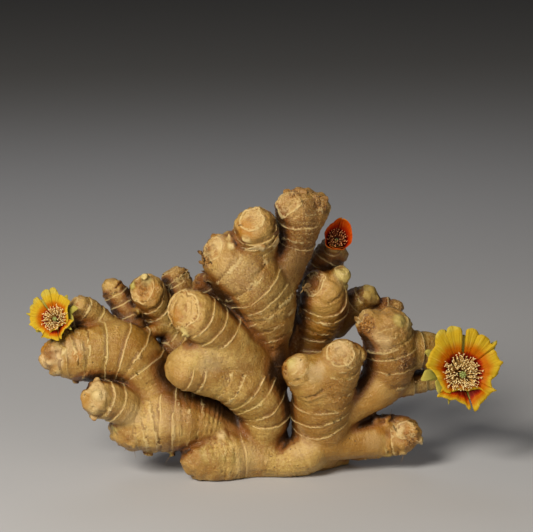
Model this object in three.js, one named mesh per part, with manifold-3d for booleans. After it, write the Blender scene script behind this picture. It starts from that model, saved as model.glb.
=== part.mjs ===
// A hand of fresh ginger that stands on its base, with a cactus bloom set on each of three fingertips.
// Millimetres, +Z up. The hand spreads along X and shows its front to -Y.
// The origin is the middle of the floor under it.
import * as THREE from "three";
import { mergeVertices } from "three/addons/utils/BufferGeometryUtils.js";
import Module from "manifold-3d";

// Skin relief, shared by every finger
const ringGap = 11; // along a finger, from one leaf scar to the next
const ringHeight = 0.55; // of the scar's crest above the skin
const ringStep = 1; // from the crest down to the next length of skin
const sideWidth = 7.3; // of one flat around a finger
const fewestSides = 7;
const mostSides = 12;
const ringPlace = 0.62; // of a scar within its gap, as a share
const ringWobble = 0.16; // of that share, from scar to scar
const ovalness = 0.035; // two-sided swelling of a section, as a share of its radius
const lumpiness = 0.025; // three-sided swelling
const frayDepth = 0.28; // of a torn rim, as a share of the tip's radius
const faceLength = 2.2; // end radii over which a finger turns to face its way

// Fingers, each a spine of stations [x, y, z, radius] from the buried root to the tip.
// tip is dome, disc (the round scar of a fallen shoot), frayed (a dry crater), bud or flat.
// face turns the tip to look that way.
const fingers = {
  foot: {
    spine: [[-2, 2, 11, 13.8], [-16, -6, 11, 14.2], [-27, -12, 11, 12.1], [-35, -15, 10, 8.5]],
  },
  mother: {
    spine: [[-2, 2, 9, 13.3], [-2, -2, 23, 12.7], [-2, -6, 36, 13.4], [-12, -10, 49, 14.5],
      [-27, -15, 56, 12.5], [-39, -19, 59, 10.4]],
  },
  crown: {
    spine: [[1, -2, 48, 10.1], [2, -2, 63, 8.8], [1, -3, 74, 10.8], [-2, -6, 87, 15.5],
      [-7, -10, 100, 16.9], [-15, -13, 110, 14.3], [-22, -16, 117, 9.3]],
    tip: "frayed", face: [-0.7, -0.6, 0.4],
  },
  crownKnob: {
    spine: [[-6, -8, 105, 10.9], [-5, -12, 116, 9.4], [-5, -17, 127, 10.3], [-6, -20, 132, 8.3]],
    tip: "disc", face: [-0.25, -0.8, 0.55],
  },
  crownTall: {
    spine: [[1, 0, 86, 12], [8, -1, 98, 11.5], [12, -2, 109, 9.5], [15, -4, 121, 8.9],
      [16, -8, 133, 10.9], [16, -10, 139, 8.9]],
    tip: "disc", face: [-0.6, -0.7, 0.4],
  },
  crownTallBump: {
    spine: [[18, -5, 128, 8.4], [23, -6, 136, 7.2], [25, -7, 139, 5.7]],
  },
  thumb: {
    spine: [[-8, -8, 57, 12], [-14, -12, 66, 12], [-23, -18, 77, 11.4], [-33, -24, 86, 11.3],
      [-39, -28, 90, 9.5]],
    tip: "disc", face: [-0.6, -0.75, 0.25],
  },
  axil: {
    spine: [[-20, -2, 77, 6.5], [-26, -4, 89, 6.2], [-31, -6, 98, 5.5]],
  },
  leftPalm: {
    spine: [[-11, 0, 18, 10.2], [-24, -3, 24, 11.1], [-36, -6, 29, 13.9], [-51, -8, 30, 16.6],
      [-64, -9, 28, 13.6], [-71, -9, 25, 8.6]],
  },
  leftLong: {
    spine: [[-55, -4, 32, 13.1], [-59, -3, 46, 13.6], [-65, -4, 58, 13.6], [-74, -6, 64, 14.5],
      [-87, -9, 64, 13.5], [-98, -12, 64, 11], [-106, -14, 63, 7]],
  },
  leftThumb: {
    spine: [[-64, -10, 32, 9], [-71, -16, 38, 9.2], [-80, -21, 43, 9.2], [-85, -24, 44, 7.4]],
    face: [-0.75, -0.65, -0.1],
  },
  leftStub: {
    spine: [[-77, 0, 68, 8.6], [-84, -1, 77, 7.8], [-90, -4, 84, 6.8], [-94, -7, 87, 5.5]],
    tip: "disc", face: [-0.75, -0.3, 0.6],
  },
  leftStubFoot: {
    spine: [[-90, -2, 82, 6], [-96, -3, 82, 5.5], [-101, -5, 80, 4.8]],
  },
  leftRear: {
    spine: [[-63, 6, 64, 7.1], [-67, 9, 72, 7.1], [-72, 11, 82, 7.1], [-76, 11, 90, 6.3],
      [-78, 11, 93, 4.8]],
  },
  scarred: {
    spine: [[-34, 8, 56, 8.1], [-43, 10, 62, 8.1], [-50, 11, 72, 7.6], [-56, 9, 84, 8.6],
      [-60, 5, 93, 7.8]],
    tip: "disc", face: [-0.5, -0.8, 0.35],
  },
  scarredTwin: {
    spine: [[-39, 16, 70, 7.1], [-41, 17, 83, 7.9], [-44, 17, 91, 7.6], [-47, 17, 97, 6.4]],
    tip: "disc",
  },
  scarredNub: {
    spine: [[-44, 9, 65, 5.1], [-49, 6, 63, 4.6], [-52, 4, 61, 3.5]],
  },
  scarredBud: {
    spine: [[-50, 6, 72, 3.5], [-56, 2, 73, 3], [-59, 0, 73, 2]],
    tip: "bud",
  },
  dark: {
    spine: [[8, 8, 55, 7.1], [16, 16, 70, 7.7], [23, 20, 86, 7.7], [28, 20, 100, 7.9],
      [33, 18, 109, 7.6]],
  },
  middle: {
    spine: [[24, 8, 32, 9.2], [22, 12, 46, 8.2], [22, 14, 59, 8.2], [25, 13, 70, 8.9],
      [28, 11, 81, 11.4], [29, 8, 89, 11.4], [26, 5, 95, 8.6]],
    tip: "frayed", face: [-0.45, -0.75, 0.45],
  },
  middleBud: {
    spine: [[32, 10, 88, 6.1], [36, 8, 97, 4.8], [38, 7, 101, 3.8]],
  },
  middleRear: {
    spine: [[36, 18, 72, 6.6], [43, 20, 81, 7.2], [49, 20, 85, 6.4], [52, 19, 87, 4.8]],
    tip: "bud",
  },
  farRear: {
    spine: [[53, 22, 69, 5.1], [58, 24, 78, 5.4], [63, 24, 80, 4.6], [67, 23, 80, 3.1]],
    tip: "bud",
  },
  right: {
    spine: [[28, 4, 21, 10.2], [40, 4, 29, 8.4], [50, 2, 37, 8.1], [57, 0, 44, 10.1], [62, -2, 55, 12.1],
      [62, -4, 66, 12.6], [60, -6, 75, 11]],
  },
  rightHorn: {
    spine: [[59, -5, 69, 8.5], [54, -8, 77, 7.7], [50, -9, 80, 6]],
    tip: "frayed",
  },
  rightBud: {
    spine: [[63, -3, 69, 7.5], [66, -7, 76, 6], [67, -9, 79, 4.5]],
    tip: "disc", face: [0.2, -0.8, 0.5],
  },
  rightStubHigh: {
    spine: [[63, 0, 62, 9.1], [74, 2, 63, 9.1], [83, 4, 62, 8.1], [91, 5, 57, 6.3], [98, 6, 53, 4.8]],
  },
  rightStubLow: {
    spine: [[60, 2, 47, 9.1], [70, 4, 45, 6.6], [80, 6, 46, 5.3], [87, 8, 46, 4.6]],
  },
  fore: {
    spine: [[26, 2, 12, 12.2], [28, -4, 25, 13.7], [28, -9, 39, 14.1], [32, -13, 50, 12.2],
      [36, -17, 59, 9.9], [37, -20, 65, 8.7]],
    tip: "disc", face: [-0.1, -0.8, 0.6],
  },
  foreShoulder: {
    spine: [[38, -17, 61, 6], [43, -17, 66, 4.5], [46, -17, 69, 2.5]],
    tip: "bud",
  },
  foreLobe: {
    spine: [[28, -9, 41, 9.5], [21, -14, 50, 9.2], [16, -18, 56, 7.7], [14, -20, 59, 6.2]],
    tip: "frayed", face: [-0.6, -0.7, 0.4],
  },
  lowRight: {
    spine: [[26, 4, 15, 10.2], [39, 5, 13, 9.2], [50, 4, 15, 9.7], [59, 2, 18, 10.9], [67, 0, 19, 9.4],
      [71, -2, 20, 7.4]],
  },
  bridge: {
    spine: [[-4, 2, 10, 13.3], [10, 2, 3, 6.4], [26, 6, 9, 10.2], [36, 12, 6, 7.2]],
  },
  backHeel: {
    spine: [[-4, 6, 14, 12], [-10, 18, 11, 11.5], [-14, 27, 9, 9.5]],
  },
  backMother: {
    spine: [[-4, 2, 36, 11], [-16, 16, 40, 10.5], [-24, 28, 44, 8.5]],
    tip: "disc",
  },
  backPalm: {
    spine: [[-52, -4, 32, 12], [-50, 12, 31, 10.5], [-47, 25, 31, 8.5]],
  },
  backCrown: {
    spine: [[-5, -2, 94, 11], [-8, 14, 101, 10], [-7, 26, 108, 8]],
    tip: "disc",
  },
  backRight: {
    spine: [[24, 8, 16, 11], [28, 20, 11, 10.5], [31, 29, 9, 8.5]],
  },
  backRightHigh: {
    spine: [[59, 0, 58, 9], [61, 16, 61, 8.5], [61, 27, 67, 7]],
  },
};

// Buds, root stubs and knobs on the skin: where, which way, how wide and how far they stand out
const buds = [
  { at: [-58.8, -11.7, 14.4], points: [-0.3, -0.2, -1], radius: 2.6, length: 3.4 },
  { at: [-47.7, -11.1, 12.9], points: [0.1, -0.3, -1], radius: 2.2, length: 2.8 },
  { at: [-68.4, -10.9, 16.8], points: [-0.4, -0.3, -1], radius: 2.2, length: 2 },
  { at: [-95.1, -12.1, 52.2], points: [-0.4, -0.2, -1], radius: 2.3, length: 3.2 },
  { at: [-16, -20, 121], points: [0.2, -0.7, 0.7], radius: 2, length: 2.6 },
  { at: [-29.9, -8.2, 102.5], points: [-0.5, -0.6, 0.6], radius: 2.2, length: 2.4 },
  { at: [-8.9, -23.2, 124.8], points: [-0.3, -0.9, 0.1], radius: 2, length: 1.6 },
  { at: [6.8, -5, 129], points: [-0.7, -0.6, 0.3], radius: 2.2, length: 2 },
  { at: [-60, 1, 98], points: [0, -0.5, 0.9], radius: 2.4, length: 1.8 },
  { at: [-64.4, 4, 82], points: [-0.8, -0.5, -0.2], radius: 2.4, length: 1.8 },
  { at: [16.8, 8, 82.1], points: [-1, -0.2, 0.1], radius: 2.2, length: 2 },
  { at: [16, 9.5, 73.3], points: [-1, -0.3, 0], radius: 2.2, length: 2.2 },
  { at: [77, -4, 17.5], points: [1, -0.3, -0.3], radius: 2.6, length: 3 },
  { at: [55.4, 4.4, 27.4], points: [-0.2, 0, 1], radius: 2.6, length: 1.8 },
  { at: [-22.2, -15.2, 23], points: [-0.1, -0.6, 0.8], radius: 2.4, length: 1.4 },
  { at: [-40.5, -33, 82.6], points: [0, -0.6, -0.8], radius: 2.2, length: 1.6 },
  { at: [-84, -21.6, 52], points: [-0.2, -0.2, 1], radius: 2, length: 1.8 },
  { at: [-85.3, -25, 36.7], points: [-0.1, -0.3, -1], radius: 2.4, length: 2.2 },
];
const budSides = 6;
const budShoulder = [0.55, 0.72]; // height and width of a bud's shoulder, as shares of length and radius

// Blooms. seat is the middle of the flat scar that one sits on, axis the way it faces.
// Heights along the axis count from the seat; opening is the petals' angle from the axis in degrees,
// at the throat and at the tip.
const blooms = {
  right: {
    seat: [96, -2, 52.5], axis: [0.15, -0.95, 0.2], seatRadius: 4.2, seatDepth: 9, seed: 21,
    ovary: 5.4, throat: 4.9, petalLength: 21, opening: [34, 72], roll: 0, mirrored: false,
    petalColumns: 3, outerLeaves: true,
    stamens: 34, stamenLength: 8, spread: 9.4, styleLength: 10.5, stigma: 1.9,
  },
  left: {
    seat: [-102.5, -11, 80.5], axis: [-0.2, -0.87, 0.42], seatRadius: 3.4, seatDepth: 8, seed: 22,
    ovary: 3.8, throat: 3.9, petalLength: 11.8, opening: [26, 68], roll: 32, mirrored: true,
    petalColumns: 2, outerLeaves: true,
    stamens: 20, stamenLength: 6.2, spread: 5.2, styleLength: 8, stigma: 1.4,
  },
  top: {
    seat: [34, 9, 115], axis: [0.15, -0.8, 0.58], seatRadius: 3.3, seatDepth: 9, seed: 23,
    ovary: 3, throat: 3, petalLength: 10.5, opening: [14, 34], roll: -8, mirrored: false,
    petalColumns: 2, outerLeaves: false,
    stamens: 14, stamenLength: 6, spread: 3.7, styleLength: 7.6, stigma: 1.3,
  },
};
const bodyGap = 0.3; // between the pieces of a bloom, and under it
const styleRadius = 0.8;
const stalkRadius = 0.42;
const antherRadius = 0.62;
const petalThickness = 0.65;
const whorlStep = 0.75; // outwards from one whorl of petals to the next
const cupHeight = 1.3; // of the ring that joins the petals
const discHeight = 1; // of the ring that joins the stamens
const washerSides = 12;

// Petals of one bloom: turn in degrees round the axis, reach and half width as shares of the petal
// length, lift in degrees towards the axis, and the whorl that it stands in, counted outwards.
// The two low ones fold in over the stamens, and the pointed ones are the pale outer leaves.
const petals = [
  { turn: 106, reach: 1, width: 0.25, lift: 0, whorl: 0 },
  { turn: 71, reach: 0.98, width: 0.25, lift: 0, whorl: 0 },
  { turn: 12, reach: 0.92, width: 0.29, lift: 0, whorl: 0 },
  { turn: -68, reach: 0.85, width: 0.27, lift: 8, whorl: 0 },
  { turn: -112, reach: 0.85, width: 0.25, lift: 8, whorl: 0 },
  { turn: 170, reach: 0.88, width: 0.28, lift: 0, whorl: 0 },
  { turn: 138, reach: 0.95, width: 0.27, lift: 0, whorl: 1 },
  { turn: 42, reach: 0.93, width: 0.27, lift: 0, whorl: 1 },
  { turn: -30, reach: 0.87, width: 0.28, lift: 0, whorl: 1 },
  { turn: -148, reach: 0.87, width: 0.28, lift: 0, whorl: 1 },
  { turn: 88, reach: 0.82, width: 0.14, lift: 0, whorl: 1, pointed: true },
  { turn: 32, reach: 0.9, width: 0.11, lift: -2, whorl: 2, pointed: true },
  { turn: -90, reach: 0.84, width: 0.12, lift: 4, whorl: 1, pointed: true },
  { turn: -166, reach: 0.96, width: 0.15, lift: -2, whorl: 2, pointed: true },
  { turn: 154, reach: 0.94, width: 0.14, lift: -2, whorl: 2, pointed: true },
];

// Outline of a petal: [share of its length, share of its half width]
const roundPetal = [[0, 0.26], [0.35, 0.7], [0.75, 1], [1, 0.66]];
const pointedPetal = [[0, 0.6], [0.5, 1], [1, 0.2]];

// How each kind of tip closes: [advance, width] as shares of the last station's radius.
const tips = {
  dome: [[0.42, 0.91], [0.74, 0.66], [0.9, 0.34]],
  disc: [[0.4, 0.92], [0.62, 0.77], [0.69, 0.66], [0.62, 0.55]],
  frayed: [[0.42, 0.97], [0.68, 0.84], [0.6, 0.62], [0.42, 0.42]],
  bud: [[0.6, 0.78], [1.1, 0.34]],
  flat: [],
};

const wasm = await Module();
wasm.setup();

// A repeatable stream of numbers from 0 to 1
function seeded(seed) {
  let state = seed;
  return () => {
    state = (state * 1664525 + 1013904223) % 4294967296;
    return state / 4294967296;
  };
}

function vector([x, y, z]) {
  return new THREE.Vector3(x, y, z);
}

function solidOf(geometry) {
  const bare = geometry.clone();
  bare.deleteAttribute("normal");
  bare.deleteAttribute("uv");
  const merged = mergeVertices(bare, 1e-4);
  return new wasm.Manifold(
    new wasm.Mesh({
      numProp: 3,
      vertProperties: merged.attributes.position.array,
      triVerts: new Uint32Array(merged.index.array),
    }),
  );
}

function joined(solids) {
  return solids.reduce((whole, solid) => whole.add(solid));
}

function geometryOf(solid) {
  const { vertProperties, triVerts } = solid.getMesh();
  const geometry = new THREE.BufferGeometry();
  geometry.setAttribute("position", new THREE.BufferAttribute(vertProperties, 3));
  geometry.setIndex(new THREE.BufferAttribute(triVerts, 1));
  geometry.computeVertexNormals();
  return geometry;
}

// A closed skin over rings of points, fanned to a point at each end
function skinOver(rings, start, end) {
  const sides = rings[0].length;
  const points = [start, ...rings.flat(), end];
  const at = (ring, side) => 1 + ring * sides + (side % sides);
  const last = rings.length - 1;
  const tip = points.length - 1;
  const faces = [];
  for (let side = 0; side < sides; side++) {
    faces.push(0, at(0, side + 1), at(0, side));
    for (let ring = 0; ring < last; ring++) {
      faces.push(at(ring, side), at(ring, side + 1), at(ring + 1, side + 1));
      faces.push(at(ring, side), at(ring + 1, side + 1), at(ring + 1, side));
    }
    faces.push(tip, at(last, side), at(last, side + 1));
  }
  return new THREE.BufferGeometry().setFromPoints(points).setIndex(faces);
}

// Where the rows of points lie along a finger, and how far each stands off its radius
function rowsAlong(length, random) {
  const rows = [{ along: 0, rise: 0 }];
  const count = Math.max(1, Math.round(length / ringGap));
  const gap = length / count;
  for (let ring = 0; ring < count; ring++) {
    const crest = (ring + ringPlace + ringWobble * (random() - 0.5)) * gap;
    rows.push({ along: crest, rise: ringHeight });
    rows.push({ along: crest + ringStep, rise: 0 });
  }
  return rows.filter((row) => row.along < length - 0.5).concat({ along: length, rise: 0 });
}

// One finger: its section follows the spine, swells a little between the leaf scars and closes in its tip
function fingerSolid({ spine, tip = "dome", face }, seed) {
  const random = seeded(seed);
  const path = new THREE.CatmullRomCurve3(spine.map(vector), false, "catmullrom", 0.5);
  const radii = new THREE.CatmullRomCurve3(
    spine.map((station) => new THREE.Vector3(station[3], 0, 0)), false, "catmullrom", 0.5,
  );
  const widest = Math.max(...spine.map((station) => station[3]));
  const wanted = Math.round((2 * Math.PI * widest) / sideWidth);
  const sides = THREE.MathUtils.clamp(wanted, fewestSides, mostSides);
  const length = path.getLength();
  const ovalTurn = random() * 2 * Math.PI;
  const lumpTurn = random() * 2 * Math.PI;
  const endRadius = spine.at(-1)[3];
  const rings = [];
  const across = new THREE.Vector3(0, 1, 0);
  const addRing = (centre, along, radius, rough = 0) => {
    across.addScaledVector(along, -across.dot(along)).normalize();
    const up = new THREE.Vector3().crossVectors(along, across);
    rings.push(
      Array.from({ length: sides }, (_, side) => {
        const angle = (side / sides) * 2 * Math.PI;
        const oval = ovalness * Math.sin(2 * angle + ovalTurn);
        const lumps = lumpiness * Math.sin(3 * angle + lumpTurn);
        const reach = radius * (1 + oval + lumps);
        return centre.clone()
          .addScaledVector(across, Math.cos(angle) * reach)
          .addScaledVector(up, Math.sin(angle) * reach)
          .addScaledVector(along, rough * (random() - 0.5));
      }),
    );
  };
  const turned = (along, share) =>
    face ? along.lerp(vector(face).normalize(), share * share * (3 - 2 * share)).normalize() : along;
  const rows = rowsAlong(length, random);
  across.set(0, 0, 1).lerp(new THREE.Vector3(0, 1, 0), Math.abs(path.getTangentAt(0).z)).normalize();
  for (const { along, rise } of rows) {
    const share = along / length;
    const near = THREE.MathUtils.clamp(1 - (length - along) / (faceLength * endRadius), 0, 1);
    const radius = radii.getPoint(path.getUtoTmapping(share)).x + rise;
    addRing(path.getPointAt(share), turned(path.getTangentAt(share), near), radius);
  }
  const end = path.getPointAt(1);
  const outward = turned(path.getTangentAt(1), 1);
  let reach = 0;
  for (const [advance, width] of tips[tip]) {
    const rough = tip === "frayed" && width > 0.6 ? frayDepth * endRadius : 0;
    addRing(end.clone().addScaledVector(outward, advance * endRadius), outward, width * endRadius, rough);
    reach = advance;
  }
  const rounded = tip === "dome" || tip === "bud";
  const pole = end.clone().addScaledVector(outward, (reach + (rounded ? 0.06 : 0)) * endRadius);
  return solidOf(skinOver(rings, path.getPointAt(0), pole));
}

// A bud or root stub: a small six-sided bump on the skin, sunk one radius into it
function budSolid({ at, points, radius, length }) {
  const along = vector(points).normalize();
  const across = new THREE.Vector3(0, 0, 1).cross(along).normalize();
  const up = new THREE.Vector3().crossVectors(along, across);
  const place = (advance) => vector(at).addScaledVector(along, advance);
  const ring = (advance, width) =>
    Array.from({ length: budSides }, (_, side) => {
      const angle = (side / budSides) * 2 * Math.PI;
      return place(advance)
        .addScaledVector(across, Math.cos(angle) * width)
        .addScaledVector(up, Math.sin(angle) * width);
    });
  const rings = [ring(-radius, radius), ring(length * budShoulder[0], radius * budShoulder[1])];
  return solidOf(skinOver(rings, place(-radius), place(length)));
}

// The short peg with a flat end that a bloom sits on
function seatSolid({ seat, axis, seatRadius, seatDepth }) {
  const top = vector(seat);
  const root = top.clone().addScaledVector(vector(axis).normalize(), -seatDepth);
  const spine = [[...root, seatRadius * 1.25], [...top, seatRadius]];
  return fingerSolid({ spine, tip: "flat", face: axis }, 5);
}

// The hand: every finger, bud and seat joined, then cut level where it stands
function makeRhizome() {
  const solids = [
    ...Object.values(fingers).map((finger, index) => fingerSolid(finger, 11 + 37 * index)),
    ...buds.map(budSolid),
    ...Object.values(blooms).map(seatSolid),
  ];
  const floorCut = new THREE.BoxGeometry(400, 200, 60).translate(0, 0, -30);
  return joined(solids).subtract(solidOf(floorCut));
}

// A turned form from a profile of [radius, height]; lobes swells it by turns where the profile says so
function turnedSolid(profile, segments, lobes = 0) {
  const rings = profile.map(([radius, height, swell = 0]) =>
    Array.from({ length: segments }, (_, side) => {
      const angle = (side / segments) * 2 * Math.PI;
      const reach = radius * (1 + swell * Math.cos(lobes * angle));
      return new THREE.Vector3(Math.cos(angle) * reach, Math.sin(angle) * reach, height);
    }),
  );
  const [first, last] = [profile[0][1], profile.at(-1)[1]];
  return solidOf(skinOver(rings, new THREE.Vector3(0, 0, first), new THREE.Vector3(0, 0, last)));
}

// A flat ring of square section round the bloom's axis
function washerSolid(inner, outer, low, high) {
  const profile = [[inner, low], [outer, low], [outer, high], [inner, high], [inner, low]];
  const points = profile.map(([radius, height]) => new THREE.Vector2(radius, height));
  return solidOf(new THREE.LatheGeometry(points, washerSides).rotateX(Math.PI / 2));
}

// A closed blade: rows of points for its inner face, the same rows one thickness behind, and the
// edges between. Both faces split their squares along the same diagonal.
function bladeSolid(front, behind) {
  const rows = front.length;
  const width = front[0].length;
  const points = [...front.flat(), ...behind.flat()];
  const at = (layer, row, column) => layer * rows * width + row * width + column;
  const faces = [];
  const square = (a, b, c, d) => faces.push(a, b, c, a, c, d);
  for (let row = 0; row + 1 < rows; row++) {
    for (let column = 0; column + 1 < width; column++) {
      const [a, b] = [at(0, row, column), at(0, row, column + 1)];
      const [c, d] = [at(0, row + 1, column + 1), at(0, row + 1, column)];
      const back = rows * width;
      faces.push(a, b, c, a, c, d);
      faces.push(a + back, c + back, b + back, a + back, d + back, c + back);
    }
    square(at(0, row, 0), at(0, row + 1, 0), at(1, row + 1, 0), at(1, row, 0));
    square(at(1, row, width - 1), at(1, row + 1, width - 1), at(0, row + 1, width - 1),
      at(0, row, width - 1));
  }
  for (let column = 0; column + 1 < width; column++) {
    square(at(1, 0, column), at(1, 0, column + 1), at(0, 0, column + 1), at(0, 0, column));
    square(at(0, rows - 1, column), at(0, rows - 1, column + 1), at(1, rows - 1, column + 1),
      at(1, rows - 1, column));
  }
  return solidOf(new THREE.BufferGeometry().setFromPoints(points).setIndex(faces));
}

// One petal: its midline leaves the throat steeply and opens out, its edges lift and ripple
function petalSolid(bloom, petal, random) {
  const turn = THREE.MathUtils.degToRad((bloom.mirrored ? 180 - petal.turn : petal.turn) + bloom.roll);
  const radial = new THREE.Vector3(Math.cos(turn), Math.sin(turn), 0);
  const side = new THREE.Vector3(-Math.sin(turn), Math.cos(turn), 0);
  const shape = petal.pointed ? pointedPetal : roundPetal;
  const length = bloom.petalLength * petal.reach;
  const halfWidth = bloom.petalLength * petal.width;
  const ripple = random() * 2 * Math.PI;
  const columns = petal.whorl ? 2 : bloom.petalColumns;
  const middle = new THREE.Vector3()
    .addScaledVector(radial, bloom.throat + petal.whorl * whorlStep)
    .setZ(bloom.ovary + 0.8);
  const front = [];
  const behind = [];
  shape.forEach(([share, width], row) => {
    const step = row ? (share - shape[row - 1][0]) * length : 0;
    const opening = bloom.opening[0] + (bloom.opening[1] - bloom.opening[0]) * share;
    const angle = THREE.MathUtils.degToRad(opening - petal.lift * Math.sin(share * 2.4));
    middle.addScaledVector(radial, Math.sin(angle) * step);
    middle.z += Math.cos(angle) * step;
    const inward = radial.clone().multiplyScalar(-Math.cos(angle)).setZ(Math.sin(angle));
    const along = radial.clone().multiplyScalar(Math.sin(angle)).setZ(Math.cos(angle));
    const line = [];
    for (let column = 0; column <= columns; column++) {
      const across = 1 - (2 * column) / columns;
      const cupped = 0.3 * halfWidth * width * across * across;
      const wave = 0.05 * length * share * share * Math.sin(3.4 * across + ripple);
      line.push(
        middle.clone()
          .addScaledVector(side, across * halfWidth * width)
          .addScaledVector(along, -0.35 * halfWidth * width * share * across * across)
          .addScaledVector(inward, cupped + wave),
      );
    }
    front.push(line);
    behind.push(line.map((point) => point.clone().addScaledVector(inward, -petalThickness)));
  });
  return bladeSolid(front, behind);
}

// One stamen: a thin stalk that ends in a fatter anther
function stamenSolid(from, to) {
  const along = to.clone().sub(from).normalize();
  const across = new THREE.Vector3(0, 0, 1).cross(along).normalize();
  const up = new THREE.Vector3().crossVectors(along, across);
  const ring = (share, width) =>
    [0, 1, 2].map((side) => {
      const angle = (side / 3) * 2 * Math.PI;
      return from.clone().lerp(to, share)
        .addScaledVector(across, Math.cos(angle) * width)
        .addScaledVector(up, Math.sin(angle) * width);
    });
  const rings = [ring(0, stalkRadius), ring(0.72, stalkRadius), ring(0.86, antherRadius)];
  return solidOf(skinOver(rings, from.clone(), to.clone()));
}

function makePetals(bloom, random) {
  const base = bloom.ovary + bodyGap;
  const outer = bloom.throat + 2 * whorlStep + 0.5;
  const cup = washerSolid(styleRadius + 0.5, outer, base, base + cupHeight);
  const worn = petals.filter((petal) => bloom.outerLeaves || !petal.pointed);
  return joined([cup, ...worn.map((petal) => petalSolid(bloom, petal, random))]);
}

function makeStamens(bloom, random) {
  const low = bloom.ovary + cupHeight + 2 * bodyGap;
  const outer = bloom.throat - petalThickness;
  const solids = [washerSolid(styleRadius + 0.5, outer, low, low + discHeight)];
  const golden = Math.PI * (3 - Math.sqrt(5));
  for (let index = 0; index < bloom.stamens; index++) {
    const share = (index + 0.5) / bloom.stamens;
    const turn = index * golden;
    const folded = Math.cos(turn - THREE.MathUtils.degToRad(bloom.roll - 90));
    const spread = bloom.spread * (1 - 0.26 * Math.max(0, folded) ** 4);
    const root = styleRadius + 1.1 + (outer - styleRadius - 1.7) * share;
    const reach = THREE.MathUtils.lerp(bloom.stigma + 1.6, spread, Math.sqrt(share));
    const height = bloom.stamenLength * (1 - 0.18 * share + 0.1 * (random() - 0.5));
    solids.push(
      stamenSolid(
        new THREE.Vector3(Math.cos(turn) * root, Math.sin(turn) * root, low + 0.5),
        new THREE.Vector3(Math.cos(turn) * reach, Math.sin(turn) * reach, low + height),
      ),
    );
  }
  return joined(solids);
}

function makePistil(bloom) {
  const { ovary, throat, stigma } = bloom;
  const head = ovary + bloom.styleLength;
  return turnedSolid(
    [
      [throat * 0.62, 0], [throat * 0.95, ovary * 0.45], [throat * 0.8, ovary],
      [styleRadius, ovary], [styleRadius, head],
      [stigma, head + 0.7, 0.22], [stigma * 0.8, head + 2, 0.22],
    ],
    10, 5,
  );
}

// A bloom's group stands on its seat with its axis along the group's +Z and the viewer's right along +X
function bloomGroup(name, bloom, materials) {
  const random = seeded(bloom.seed);
  const axis = vector(bloom.axis).normalize();
  const right = new THREE.Vector3(1, 0, 0);
  right.addScaledVector(axis, -right.dot(axis)).normalize();
  const up = new THREE.Vector3().crossVectors(axis, right);
  const group = new THREE.Group();
  group.quaternion.setFromRotationMatrix(new THREE.Matrix4().makeBasis(right, up, axis));
  group.position.copy(vector(bloom.seat)).addScaledVector(axis, bodyGap);
  const pieces = {
    petals: [makePetals(bloom, random), materials.petals],
    stamens: [makeStamens(bloom, random), stamenYellow],
    pistil: [makePistil(bloom), pistilGreen],
  };
  for (const [piece, [solid, material]] of Object.entries(pieces)) {
    const mesh = new THREE.Mesh(geometryOf(solid), material);
    mesh.name = name + "_bloom_" + piece;
    group.add(mesh);
  }
  return group;
}

const skin = new THREE.MeshStandardMaterial({ color: 0xc89f5e, roughness: 0.55, metalness: 0 });
const petalYellow = new THREE.MeshStandardMaterial({ color: 0xe9b420, roughness: 0.6, metalness: 0 });
const petalRed = new THREE.MeshStandardMaterial({ color: 0xcf4417, roughness: 0.6, metalness: 0 });
const stamenYellow = new THREE.MeshStandardMaterial({ color: 0xefdc9a, roughness: 0.7, metalness: 0 });
const pistilGreen = new THREE.MeshStandardMaterial({ color: 0x8ba64a, roughness: 0.6, metalness: 0 });

const hand = new THREE.Group();
const rhizome = new THREE.Mesh(geometryOf(makeRhizome()), skin);
rhizome.name = "rhizome";
hand.add(rhizome);
hand.add(bloomGroup("right", blooms.right, { petals: petalYellow }));
hand.add(bloomGroup("left", blooms.left, { petals: petalYellow }));
hand.add(bloomGroup("top", blooms.top, { petals: petalRed }));

export default hand;
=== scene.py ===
import math
from functools import partial

import bpy
import numpy as np
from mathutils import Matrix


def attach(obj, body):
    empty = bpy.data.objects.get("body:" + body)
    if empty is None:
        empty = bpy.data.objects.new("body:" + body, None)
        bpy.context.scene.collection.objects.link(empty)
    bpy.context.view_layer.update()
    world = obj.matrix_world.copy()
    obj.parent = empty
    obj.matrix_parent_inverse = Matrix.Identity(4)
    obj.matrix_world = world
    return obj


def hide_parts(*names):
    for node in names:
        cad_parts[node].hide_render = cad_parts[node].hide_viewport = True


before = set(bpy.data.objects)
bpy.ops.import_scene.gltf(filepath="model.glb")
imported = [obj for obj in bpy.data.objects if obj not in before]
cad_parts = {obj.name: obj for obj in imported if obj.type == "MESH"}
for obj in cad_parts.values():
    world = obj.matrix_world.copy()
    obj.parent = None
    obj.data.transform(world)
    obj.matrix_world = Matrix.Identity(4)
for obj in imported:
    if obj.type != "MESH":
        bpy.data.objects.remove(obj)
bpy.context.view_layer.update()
print("frame loaded")

mm = 0.001
seeds = {"hand": 11, "shreds": 5, "hairs": 8, "right": 21, "left": 22, "top": 23}


def colour(hexCode):  # sRGB hex to the linear values that shaders take
    parts = np.array([int(hexCode[i:i + 2], 16) for i in (1, 3, 5)]) / 255
    linear = np.where(parts <= 0.04045, parts / 12.92, ((parts + 0.055) / 1.055) ** 2.4)
    return (*linear, 1.0)


def setInputs(tree, node, inputs):  # to values or other nodes' outputs, in order or by name
    for name, value in inputs.items() if isinstance(inputs, dict) else enumerate(inputs):
        if isinstance(value, bpy.types.NodeSocket):
            tree.links.new(value, node.inputs[name])
        else:
            node.inputs[name].default_value = value


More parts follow.
